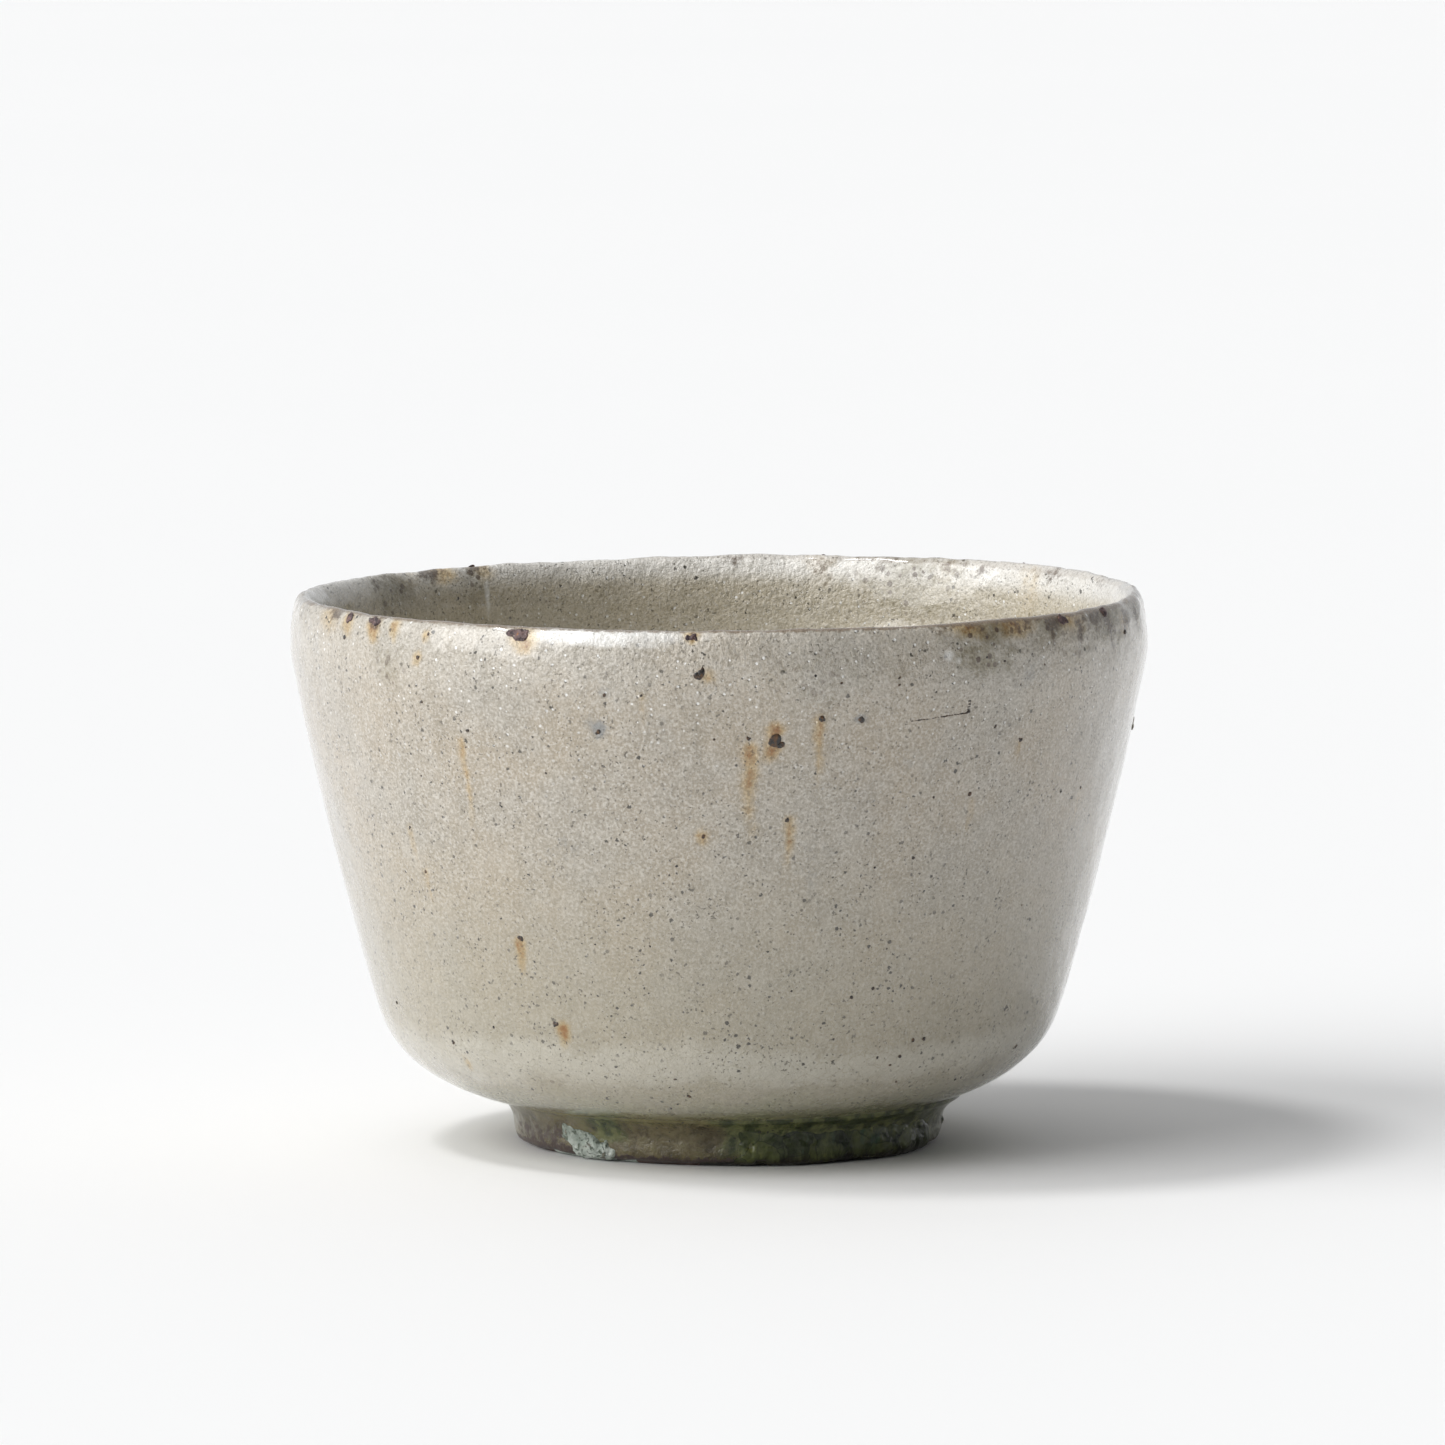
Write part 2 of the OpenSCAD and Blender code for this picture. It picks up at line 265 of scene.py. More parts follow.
def inset(path, depth):
    """The same path, moved to its left by a depth: from the finished skin towards the clay."""
    moved = []
    for i, point in enumerate(path):
        along = unit(path[min(i + 1, len(path) - 1)] - path[max(i - 1, 0)])
        moved.append(point + depth * Vector((-along.y, along.x)))
    return moved


class Section:
    """The finished section of the bowl and of its foot, as radius and height."""

    def __init__(self):
        bowl = bpy.context.scene.bowl_sizes
        foot = bpy.context.scene.foot_sizes
        self.radius = GLAZE_HIGH.x
        self.height = GLAZE_HIGH.z
        self.underside = GLAZE_LOW.z
        self.glaze = GLAZE_HIGH.x - SLIP_HIGH.x
        self.coats = GLAZE_HIGH.x - CLAY_HIGH.x
        self.shift = (RING_HIGH.x + RING_LOW.x) / 2
        self.joint = (RING_HIGH.x - RING_LOW.x) / 2
        self.ring_top = RING_HIGH.z
        self.waist = self.joint - foot.flare
        self.ring_inner = self.waist - foot.width
        self.flat = self.joint + self.shift + 0.2 * MM
        self.line = foot.glaze_line
        self.rounding = foot.rounding
        self.floor = self.ring_top + bowl.floor_thickness
        self.pool = self.floor - bowl.pool_depth
        self.bowl = bowl
        self.hip = Vector((bowl.hip_radius, bowl.hip_height))
        self.lean = unit(Vector((bowl.hip_lean, 1)))
        self.shoulder = Vector((self.radius, self.height - bowl.shoulder_drop))
        self.crest = Vector((self.radius - bowl.lip_inset, self.height))

    def outside(self, under, wall, lip):
        """The outside, from the foot joint to the crest, in so many steps for each stretch."""
        at = Vector
        start = at((self.flat + 0.6 * MM, self.underside))
        rise = at((0, 0.7 * self.bowl.shoulder_drop))
        return joined(
            [at((self.joint, self.underside)), at((self.flat, self.underside))],
            [at((self.flat, self.underside)), start],
            bezier(start, start + at((MM, 0)), self.hip - 9 * MM * self.lean, self.hip, under),
            bezier(self.hip, self.hip + 5 * MM * self.lean, self.shoulder - at((0, 5.3 * MM)),
                   self.shoulder, wall),
            bezier(self.shoulder, self.shoulder + rise, self.crest + at((1.2 * MM, 0)),
                   self.crest, lip))

    def inside(self, lip, wall, edge, floor):
        """The inside, from the crest down to the axis."""
        at = Vector
        shoulder = self.shoulder - at((self.bowl.lip_wall, 0))
        hip = self.hip + 6 * MM * self.lean - at((self.bowl.hip_wall, 0))
        rim = at((self.bowl.floor_radius, self.floor))
        pool = at((self.bowl.floor_radius - 6 * MM, self.pool))
        return joined(
            bezier(self.crest, self.crest - at((1.6 * MM, 0)), shoulder + at((0, 3 * MM)),
                   shoulder, lip),
            bezier(shoulder, shoulder - at((0, 8 * MM)), hip + 8 * MM * self.lean, hip, wall),
            bezier(hip, hip - 7 * MM * self.lean, rim + at((9 * MM, 0)), rim, edge),
            bezier(rim, rim - at((3 * MM, 0)), pool + at((3 * MM, 0)), pool, floor),
            [pool + (at((0, self.pool)) - pool) * i / floor for i in range(floor + 1)])

    def buried(self):
        """The whole path of a coat that others cover, in few steps."""
        return joined(self.outside(*BURIED_OUTSIDE), self.inside(*BURIED_INSIDE))

    def foot_edge(self, steps):
        """The rounding under the ring's outer edge, from where it stands to the glaze line."""
        edge = []
        for i in range(steps + 1):
            a = math.pi / 2 * (i / steps - 1)
            edge.append(Vector((self.waist - self.rounding * (1 - math.cos(a)),
                                self.line * (1 + math.sin(a)))))
        return edge

    def foot_skin(self, steps):
        """The ring's skin from the glaze line up to the joint under the bowl."""
        at = Vector
        low = at((self.waist, self.line))
        high = at((self.joint, self.underside))
        bend = at((self.waist, self.ring_top - 3.6 * MM))
        return joined(
            [low + (bend - low) * i / steps for i in range(steps + 1)],
            bezier(bend, bend + at((0, 1.6 * MM)), high - at((0.4 * MM, 0.4 * MM)), high, steps))

    def skin_at(self, height):
        """Radius of the outside at a height, and the direction straight out of the skin there."""
        path = self.outside(16, 24, 16)
        for low, high in zip(path[2:], path[3:]):
            if low.y <= height <= high.y:
                share = (height - low.y) / max(high.y - low.y, 1e-9)
                along = unit(high - low)
                return (low + (high - low) * share).x, Vector((along.y, -along.x))
        return self.crest.x, Vector((0, 1))


# ---------------------------------------------------------------- drawing, spinning and settling

def bare_selection():
    if bpy.context.object and bpy.context.object.mode != "OBJECT":
        bpy.ops.object.mode_set(mode="OBJECT")
    bpy.ops.object.select_all(action="DESELECT")


def take_up(piece):
    """Makes one piece the only selected and active one."""
    bare_selection()
    piece.select_set(True)
    bpy.context.view_layer.objects.active = piece


def pick(piece, rule):
    """In edit mode, selects the vertices whose place follows a rule, and nothing else."""
    bpy.ops.mesh.select_all(action="DESELECT")
    bpy.ops.object.mode_set(mode="OBJECT")
    for vertex in piece.data.vertices:
        vertex.select = rule(vertex.co)
    bpy.ops.object.mode_set(mode="EDIT")


def spun(name, profile, columns, centre=0.0, turns=None, closed=True):
    """A piece from a profile: a point drawn out along it, edge by edge, and turned about an axis.

    turns is where a part turn starts and how far it goes, in degrees."""
    start, angle = turns or (0, 360)
    bare_selection()
    bpy.ops.mesh.primitive_plane_add(size=MM, enter_editmode=True, location=(0, 0, 0))
    piece = bpy.context.object
    piece.name = name
    piece.data.name = name
    bpy.ops.mesh.select_mode(type="VERT")
    bpy.ops.mesh.select_all(action="SELECT")
    bpy.ops.mesh.merge(type="CENTER")
    pen = Vector((profile[0].x, 0, profile[0].y))
    bpy.ops.transform.translate(value=pen)
    for point in profile[1:]:
        step = Vector((point.x, 0, point.y)) - pen
        bpy.ops.mesh.extrude_vertices_move(TRANSFORM_OT_translate={"value": step})
        pen = pen + step
    if closed:
        ends = (profile[0], profile[-1])
        pick(piece, lambda co: any(abs(co.x - e.x) + abs(co.z - e.y) < 1e-7 for e in ends))
        bpy.ops.mesh.edge_face_add()
    bpy.ops.object.mode_set(mode="OBJECT")
    apply_modifier(piece, "SCREW", angle=math.radians(angle), steps=columns, render_steps=columns,
                   use_merge_vertices=True, merge_threshold=MERGE)
    bpy.ops.object.mode_set(mode="EDIT")
    bpy.ops.mesh.select_all(action="SELECT")
    bpy.ops.mesh.remove_doubles(threshold=MERGE)
    if turns:
        for end in (0, angle):
            pick(piece, lambda co: abs(math.degrees(math.atan2(co.y, co.x)) - end) < 0.01)
            bpy.ops.mesh.edge_face_add()
        bpy.ops.mesh.select_all(action="SELECT")
        bpy.ops.transform.rotate(value=-math.radians(start), orient_axis="Z",
                                 center_override=(0, 0, 0))
    bpy.ops.transform.translate(value=(centre, 0, 0))
    bpy.ops.mesh.normals_make_consistent(inside=False)
    bpy.ops.object.mode_set(mode="OBJECT")
    return piece


def places(piece):
    """The vertices as rows of x, y and z, their turns in degrees and their radii."""
    flat = np.empty(len(piece.data.vertices) * 3)
    piece.data.vertices.foreach_get("co", flat)
    co = flat.reshape(-1, 3)
    turn = np.degrees(np.arctan2(co[:, 1], co[:, 0])) % 360
    return co, turn, np.hypot(co[:, 0], co[:, 1])


def ease(value, low, high):
    """0 below low and 1 above high, with a soft start and stop."""
    t = np.clip((value - low) / (high - low), 0, 1)
    return t * t * (3 - 2 * t)


def weigh(piece, name, weights):
    """Stores weights, one for each vertex, as a vertex group with a limited number of levels."""
    group = piece.vertex_groups.new(name=name)
    levels = np.round(np.clip(weights, 0, 1) * WEIGHT_LEVELS).astype(int)
    for level in np.unique(levels):
        if level:
            group.add(np.nonzero(levels == level)[0].tolist(), float(level) / WEIGHT_LEVELS, "REPLACE")
    return name


def apply_modifier(piece, kind, **settings):
    take_up(piece)
    modifier = piece.modifiers.new(kind.title(), kind)
    for key, value in settings.items():
        setattr(modifier, key, value)
    bpy.ops.object.modifier_apply(modifier=modifier.name)


def cloud(name, size, depth=2, coloured=False):
    """A cloud texture whose lumps have a size in metres."""
    texture = bpy.data.textures.get(name)
    if texture is None:
        texture = bpy.data.textures.new(name, "CLOUDS")
        texture.noise_scale = size
        texture.noise_depth = depth
        texture.cloud_type = "COLOR" if coloured else "GRAYSCALE"
    return texture


def lumpy(piece, name, size, strength, group="", depth=2, direction="NORMAL"):
    """Moves the skin in and out by clouds of lumps, where a vertex group lets it."""
    apply_modifier(piece, "DISPLACE", texture=cloud(name, size, depth, direction != "NORMAL"),
                   texture_coords="LOCAL", strength=strength, mid_level=0.5,
                   direction=direction, vertex_group=group)


def make_cage():
    """A lattice around the bowl that leans and waves the lip as the wheel and the fire left it."""
    bare_selection()
    low, high = CAD_BOX
    bpy.ops.object.add(type="LATTICE", location=(low + high) / 2)
    cage = bpy.context.object
    cage.name = "settling_cage"
    cage.scale = (high - low) * 1.04
    cage.data.points_u = 10
    cage.data.points_v = 10
    cage.data.points_w = 5
    bpy.context.view_layer.update()
    for point in cage.data.points:
        spot = cage.matrix_world @ point.co_deform
        turn = math.atan2(spot.y, spot.x)
        out = min(math.hypot(spot.x, spot.y) / GLAZE_HIGH.x, 1.2)
        up = float(ease(spot.z, 0.12 * high.z, high.z))
        rise = 0.40 * out * math.cos(turn - math.radians(8))
        rise += 0.22 * out ** 2 * math.cos(2 * turn - math.radians(64))
        rise += 0.10 * out ** 3 * math.cos(3 * turn + math.radians(141))
        swell = 0.16 * out * math.cos(2 * turn - math.radians(110)) + 0.10 * math.cos(3 * turn)
        push = Vector((math.cos(turn) * swell, math.sin(turn) * swell, rise)) * up * MM
        spot = spot + push
        point.co_deform = cage.matrix_world.inverted() @ spot
    return cage


def settle(piece, smooth_angle=38):
    """The shared warp: every piece goes through the same cage and the same uneven lip."""
    co, _, _ = places(piece)
    lip = ease(co[:, 2], GLAZE_HIGH.z - 9 * MM, GLAZE_HIGH.z - 0.5 * MM)
    body = ease(co[:, 2], 7 * MM, 24 * MM)
    weigh(piece, "lip", lip)
    weigh(piece, "body", body)
    lumpy(piece, "slow wave", 26 * MM, 0.55 * MM, "body", 1, "RGB_TO_XYZ")
    lumpy(piece, "lip wave", 7 * MM, 0.55 * MM, "lip", 1, "RGB_TO_XYZ")
    lumpy(piece, "lip nicks", 2.2 * MM, 0.2 * MM, "lip", 1, "RGB_TO_XYZ")
    apply_modifier(piece, "LATTICE", object=bpy.data.objects["settling_cage"])
    take_up(piece)
    bpy.ops.object.shade_smooth_by_angle(angle=math.radians(smooth_angle))
    return piece


def finish_piece(piece, node, material):
    """Gives a piece its finish and its body, and hides the CAD part of the node that it stands for."""
    piece.data.materials.clear()
    piece.data.materials.append(material)
    piece.vertex_groups.clear()
    take_up(piece)
    bpy.ops.object.select_all(action="DESELECT")
    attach(piece, "root")
    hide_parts(node)


def stroke(turn, radius, height, mark):
    """How strongly one mark covers each place: a soft head, and a run that wanders down from it."""
    mark_turn, percent, width, length, strength = mark
    top = percent / 100 * GLAZE_HIGH.z
    across = np.radians((turn - mark_turn + 180) % 360 - 180) * radius
    below = top - height
    half = width / 2 * MM
    run = np.clip(below / (length * MM), 0, 1)
    across = across + half * 0.5 * np.sin(below / (1.7 * MM) + mark_turn) * run
    side = np.exp(-(across / (half * (1 - 0.35 * run))) ** 2)
    above = np.exp(-(np.minimum(below, 0) / (0.9 * half)) ** 2)
    return strength * side * above * (1 - run * run)


def brush_on(piece, name, marks):
    """Paints a list of marks onto a piece as an attribute that its glaze reads."""
    co, turn, radius = places(piece)
    cover = np.zeros(len(co))
    for mark in marks:
        cover = np.maximum(cover, stroke(turn, radius, co[:, 2], mark))
    store(piece, name, cover)


def paint_stains_and_sheen(piece, section, lowest=0):
    """Paints all that the kiln left in the glaze, and the painted highlight on the front of the lip,
    from a lowest percent of the height upwards.
    """
    for name, marks in (("amber", AMBER_RUNS), ("brown", BROWN_SMUDGES), ("olive", OLIVE_SMUDGES),
                        ("blue", BLUE_BRUISES), ("pale", PALE_SCRATCHES_AND_SHEEN)):
        brush_on(piece, name, [mark for mark in marks if mark[1] >= lowest])
    co, _, _ = places(piece)
    store(piece, "crest", ease(co[:, 2], section.height - 1.1 * MM, section.height + 0.1 * MM))


def store(piece, name, values):
    layer = piece.data.attributes.new(name, "FLOAT", "POINT")
    layer.data.foreach_set("value", np.asarray(values, dtype=np.float32))


# ---------------------------------------------------------------- mixing clay and glaze colours

class Nodes:
    """A tree of shader nodes being filled. Inputs are numbers, or what comes out of other nodes."""

    def __init__(self, tree):
        self.tree = tree
        self.tree.nodes.clear()

    def node(self, kind, inputs=None, **settings):
        node = self.tree.nodes.new(kind)
        for key, value in settings.items():
            setattr(node, key, value)
        for key, value in (inputs or {}).items():
            if isinstance(value, bpy.types.NodeSocket):
                self.tree.links.new(value, node.inputs[key])
            else:
                node.inputs[key].default_value = value
        return node

    def between(self, value, low, high, to_low=0.0, to_high=1.0):
        """Eases a value from one range to another."""
        return self.node("ShaderNodeMapRange",
                         {"Value": value, "From Min": low, "From Max": high,
                          "To Min": to_low, "To Max": to_high},
                         interpolation_type="SMOOTHSTEP").outputs[0]


class Recipe(Nodes):
    """A material being mixed: its colour is laid on in coats, one over another."""

    def __init__(self, name):
        self.material = bpy.data.materials.new(name)
        self.material.use_nodes = True
        super().__init__(self.material.node_tree)
        self.place = self.node("ShaderNodeTexCoord").outputs["Object"]
        self.height = self.node("ShaderNodeSeparateXYZ", {0: self.place}).outputs["Z"]
        self.colour = None

    def sum(self, a, b, operation="ADD"):
        return self.node("ShaderNodeMath", {0: a, 1: b}, operation=operation).outputs[0]

    def times(self, a, b):
        return self.sum(a, b, "MULTIPLY")

    def swing(self, value, spread):
        """A noise moved down to swing about 0, and spread out."""
        return self.times(self.sum(value, 0.5, "SUBTRACT"), spread)

    def stretched(self, x, y, z):
        return self.node("ShaderNodeMapping", {"Vector": self.place, "Scale": (x, y, z)}).outputs[0]

    def noise(self, size, detail=2.0, rough=0.5, place=None, twist=0.0):
        """Cloudy noise whose lumps have a size in metres."""
        return self.node("ShaderNodeTexNoise",
                         {"Vector": place or self.place, "Scale": 1 / size, "Detail": detail,
                          "Roughness": rough, "Distortion": twist}).outputs["Fac"]

    def cells(self, size, feature="F1", place=None):
        return self.node("ShaderNodeTexVoronoi",
                         {"Vector": place or self.place, "Scale": 1 / size}, feature=feature)

    def dots(self, spacing, largest, share, place=None):
        """Round dots, one in some of the cells, each of its own size up to the largest."""
        cells = self.cells(spacing, place=place)
        luck = self.node("ShaderNodeSeparateColor", {0: cells.outputs["Color"]})
        reach = self.between(luck.outputs[0], 1 - share, 1.0, 0.0, largest / spacing)
        edge = self.sum(reach, cells.outputs["Distance"], "SUBTRACT")
        return self.between(edge, 0.0, 0.25 * largest / spacing)

    def cracks(self, spacing, width, place=None):
        """Fine lines between cells."""
        cells = self.cells(spacing, "DISTANCE_TO_EDGE", place)
        return self.between(cells.outputs["Distance"], width / spacing, 0.0)

    def bent(self, size, amount):
        """The place, pushed about by noise, so that dots and cracks come out ragged."""
        push = self.node("ShaderNodeTexNoise", {"Vector": self.place, "Scale": 1 / size})
        scaled = self.node("ShaderNodeVectorMath", {0: push.outputs["Color"], "Scale": amount},
                           operation="SCALE")
        return self.node("ShaderNodeVectorMath", {0: self.place, 1: scaled.outputs[0]}).outputs[0]

    def painted(self, name):
        return self.node("ShaderNodeAttribute", attribute_name=name).outputs["Fac"]

    def mix(self, share, under, over, blend="MIX"):
        """Lays one colour over another by a share."""
        node = self.node("ShaderNodeMix", {"Factor": share}, data_type="RGBA", blend_type=blend)
        for key, colour in (("A", under), ("B", over)):
            socket = [s for s in node.inputs if s.name == key and s.type == "RGBA"][0]
            if isinstance(colour, bpy.types.NodeSocket):
                self.tree.links.new(colour, socket)
            else:
                socket.default_value = (*colour, 1)
        return [s for s in node.outputs if s.type == "RGBA"][0]

    def lay(self, share, over, blend="MIX"):
        """Lays a colour over what is there by a share."""
        self.colour = self.mix(share, self.colour, over, blend)

    def wash(self, value, low, high, most, over):
        """Lays a colour where a value passes from low to high, and at most so strongly."""
        self.lay(self.between(value, low, high, 0.0, most), over)

    def wash_mark(self, name, wobble, low, high, most, over):
        """The same where a painted attribute and a wobble together pass from low to high."""
        self.wash(self.sum(self.painted(name), wobble), low, high, most, over)

    def bumped(self, height, depth):
        return self.node("ShaderNodeBump", {"Height": height, "Distance": depth,
                                            "Strength": 1.0}).outputs[0]

    def fire(self, roughness, normal=None, **shader):
        """Ends the recipe in one shader. Numbers that are even all over go on its own sockets."""
        inputs = {"Base Color": self.colour, "Roughness": roughness}
        if normal is not None:
            inputs["Normal"] = normal
        for key, value in shader.items():
            inputs[key.replace("_", " ").title().replace("Ior", "IOR")] = value
        shader_node = self.node("ShaderNodeBsdfPrincipled", inputs)
        self.node("ShaderNodeOutputMaterial", {"Surface": shader_node.outputs[0]})
        return self.material


def ash_glaze(name, inner):
    """The ash glaze: cloudy, speckled and crackled, stained by iron and greened by pooled ash."""
    look = bpy.context.scene.fired_colours
    mix = Recipe(name)
    wander = mix.noise(9 * MM, 4, 0.6, twist=0.4)
    cloudy = mix.noise(16 * MM, 5, 0.62)
    fine_cloud = mix.noise(3.4 * MM, 4, 0.62)
    tooth = mix.noise(0.4 * MM, 2, 0.65)
    falling = mix.noise(3.2 * MM, 4, 0.55, mix.stretched(1, 1, 0.1), 0.5)
    bent = mix.bent(0.4 * MM, 0.25 * MM)

    mix.colour = mix.mix(mix.between(cloudy, 0.36, 0.64), look.warm_glaze, look.cool_glaze)
    pale = (0.60, 0.565, 0.505)
    dull = (0.20, 0.175, 0.125)
    if inner:
        # Inside, the glaze is laid lighter and warmer than outside; the extra lightness is painted fill
        # light.
        mix.lay(0.7, (0.61, 0.55, 0.425))
        # A near-white band just under the crest inside: a painted highlight where the overhead light
        # catches the inner lip.
        mix.wash(mix.height, 73.6 * MM, 76.6 * MM, 0.9, (0.88, 0.86, 0.82))
    else:
        mix.wash(mix.height, 62 * MM, 77 * MM, 0.42, pale)
    mix.wash(fine_cloud, 0.42, 0.72, 0.26, pale)
    mix.wash(fine_cloud, 0.5, 0.3, 0.08, dull)
    mix.wash(falling, 0.5, 0.74, 0.2, dull)
    mix.wash(tooth, 0.52, 0.32, 0.42, dull)
    mix.wash(tooth, 0.48, 0.68, 0.75, pale)

    # Ash runs down the wall, yellow-green and then green in the crease; the cream band over the hip
    # outside is a painted highlight.
    level = mix.sum(mix.height, mix.swing(wander, 9 * MM))
    if inner:
        mix.wash(level, 26 * MM, 12 * MM, 0.75, look.green)
    else:
        mix.wash(level, 58 * MM, 14 * MM, 0.66, (0.315, 0.285, 0.205))
        # A cream band over the hip: a painted highlight where the wall turns in.
        hip = mix.times(mix.between(level, 20 * MM, 17 * MM), mix.between(level, 12 * MM, 15 * MM))
        mix.lay(mix.times(hip, 0.42), (0.56, 0.54, 0.47))
        mix.wash(level, 13 * MM, 6 * MM, 0.45, look.green)
        crease = mix.between(mix.height, 8.6 * MM, 7.2 * MM, 0.0, 0.6)
        golden = mix.between(mix.noise(4 * MM, 3, 0.6), 0.42, 0.62)
        mix.lay(crease, mix.mix(golden, (0.15, 0.15, 0.06), (0.33, 0.29, 0.12)))
    crackle = mix.cracks(1.9 * MM, 0.06 * MM, bent)
    aged = mix.sum(level, mix.times(cloudy, 34 * MM))
    mix.lay(mix.times(crackle, mix.between(aged, 62 * MM, 24 * MM, 0.08, 0.5)), (0.24, 0.21, 0.13))

    # Iron: dust, specks, soaked smudges and amber runs.
    crowd = mix.between(mix.noise(5 * MM, 3, 0.6), 0.38, 0.6, 0.3, 1.0)
    dust = mix.times(mix.between(mix.noise(0.48 * MM, 1, 0.5), 0.64, 0.72), crowd)
    mix.lay(mix.times(dust, 0.8), (0.085, 0.075, 0.052))
    torn = mix.bent(0.35 * MM, 0.5 * MM)
    specks = mix.times(mix.dots(1.5 * MM, 0.32 * MM, 0.9, torn), crowd)
    specks = mix.sum(specks, mix.times(mix.dots(0.9 * MM, 0.2 * MM, 0.7, torn), crowd), "MAXIMUM")
    mix.lay(mix.times(specks, 0.95), (0.038, 0.034, 0.024))
    # Near-white dots, more of them towards the lip: partly pale grains in the glaze, partly painted
    # glints.
    grains_and_glints = mix.times(mix.dots(0.9 * MM, 0.24 * MM, 0.6, bent),
                        mix.between(mix.height, 50 * MM, 73 * MM, 0.12, 1.0))
    mix.lay(grains_and_glints, (0.86, 0.85, 0.82))
    ragged = mix.swing(mix.noise(1.5 * MM, 4, 0.7), 1.5)
    # The pale marks are scratches, and the painted highlight along the front of the lip.
    mix.wash_mark("pale", mix.times(ragged, 0.5), 0.25, 0.8, 1.0, (0.80, 0.785, 0.75))
    mix.wash_mark("blue", ragged, 0.1, 0.9, 0.75, look.blue)
    mix.wash_mark("olive", ragged, 0.05, 1.0, 0.85, look.olive)
    soaked = mix.times(mix.painted("olive"), mix.dots(1.2 * MM, 0.55 * MM, 0.8, bent))
    mix.lay(mix.times(soaked, 1.3), look.brown)
    amber = mix.painted("amber")
    tint = mix.between(mix.sum(amber, mix.times(ragged, 0.5)), 0.05, 0.75)
    mix.lay(tint, (1.0, 0.82, 0.52), "MULTIPLY")
    mix.wash(mix.sum(amber, ragged), 0.5, 1.1, 1.0, look.amber)
    brown = mix.between(mix.sum(mix.painted("brown"), mix.times(ragged, 1.3)), 0.3, 0.9)
    mix.lay(mix.times(brown, 0.92), look.brown)

    # The crest, where the glaze draws thin over the dark clay.
    thin = mix.between(mix.sum(mix.painted("crest"), mix.times(ragged, 0.9)), 0.42, 0.8)
    mix.lay(mix.times(thin, 0.25 if inner else 0.85), (0.17, 0.115, 0.065))

    peel = mix.sum(mix.times(mix.noise(1.7 * MM, 3, 0.5), 0.3), mix.times(tooth, 0.3))
    pocks = mix.sum(mix.times(dust, -0.12), mix.times(specks, -0.3))
    rough_lip = mix.times(mix.noise(0.9 * MM, 3, 0.62),
                          mix.between(mix.height, 62 * MM, 75 * MM, 0.05, 1.1))
    normal = mix.bumped(mix.sum(mix.sum(peel, pocks), rough_lip), 0.34 * MM)
    roughness = mix.between(fine_cloud, 0.3, 0.7, 0.2, 0.34)
    return mix.fire(roughness, normal, specular_ior_level=0.5,
                    coat_weight=1.0, coat_roughness=0.12)


def stoneware(name, tone=1.0):
    """Bare fired clay: dark, gritty, and blotched where the flame touched it."""
    look = bpy.context.scene.fired_colours
    mix = Recipe(name)
    base = Vector(look.clay) * tone
    blotch = mix.between(mix.noise(5 * MM, 4, 0.6), 0.35, 0.68)
    mix.colour = mix.mix(blotch, base, (0.16, 0.10, 0.075))
    mix.wash(mix.noise(1.6 * MM, 4, 0.65), 0.56, 0.7, 0.6, (0.27, 0.23, 0.17))
    grit = mix.dots(0.9 * MM, 0.2 * MM, 0.5)
    mix.lay(mix.times(grit, 0.7), (0.42, 0.36, 0.28))
    relief = mix.sum(mix.noise(0.6 * MM, 4, 0.7), mix.times(grit, 0.4))
    return mix.fire(mix.between(blotch, 0, 1, 0.6, 0.85), mix.bumped(relief, 0.3 * MM))


def slip_white(name):
    mix = Recipe(name)
    mix.colour = mix.mix(mix.noise(6 * MM, 4, 0.6), (0.72, 0.69, 0.62), (0.58, 0.54, 0.46))
    return mix.fire(0.8, mix.bumped(mix.noise(0.8 * MM, 4, 0.6), 0.15 * MM))


def foot_glaze_green(name):
    """The thin glaze on the foot: cream where it is thin, green glass where ash pooled."""
    look = bpy.context.scene.fired_colours
    mix = Recipe(name)
    patch = mix.noise(5 * MM, 5, 0.62, twist=0.8)
    fine = mix.noise(1.1 * MM, 4, 0.7)
    bent = mix.bent(1.2 * MM, 0.9 * MM)
    mix.colour = mix.mix(mix.between(patch, 0.36, 0.62), (0.068, 0.052, 0.022), (0.170, 0.140, 0.068))
    mix.wash(fine, 0.5, 0.7, 0.3, (0.25, 0.215, 0.13))
    mix.wash(mix.noise(2.6 * MM, 5, 0.7), 0.52, 0.64, 0.7, (0.075, 0.055, 0.03))
    mix.wash(mix.sum(mix.height, mix.times(patch, 2 * MM)), 6.4 * MM, 7.8 * MM, 0.6,
             (0.20, 0.18, 0.065))
    wobble = mix.swing(patch, 2.2)
    greened = mix.between(mix.sum(mix.painted("green"), wobble), 0.25, 0.85)
    shade = mix.between(mix.noise(2.2 * MM, 4, 0.6), 0.4, 0.62)
    mix.lay(greened, mix.mix(shade, (0.03, 0.042, 0.012), (0.14, 0.15, 0.055)))
    bare = mix.between(mix.sum(mix.painted("bare"), mix.swing(fine, 2.6)), 0.35, 0.7)
    mix.lay(bare, (0.05, 0.03, 0.024))
    crackle = mix.cracks(1.7 * MM, 0.07 * MM, bent)
    mix.lay(mix.times(crackle, 0.4), (0.10, 0.09, 0.04))
    specks = mix.dots(0.9 * MM, 0.22 * MM, 0.7, bent)
    mix.lay(mix.times(specks, 0.8), (0.02, 0.016, 0.012))
    relief = mix.sum(mix.times(fine, 0.5), patch)
    roughness = mix.between(bare, 0, 1, 0.14, 0.6)
    return mix.fire(roughness, mix.bumped(relief, 0.7 * MM), coat_weight=0.4,
                    coat_roughness=0.1)


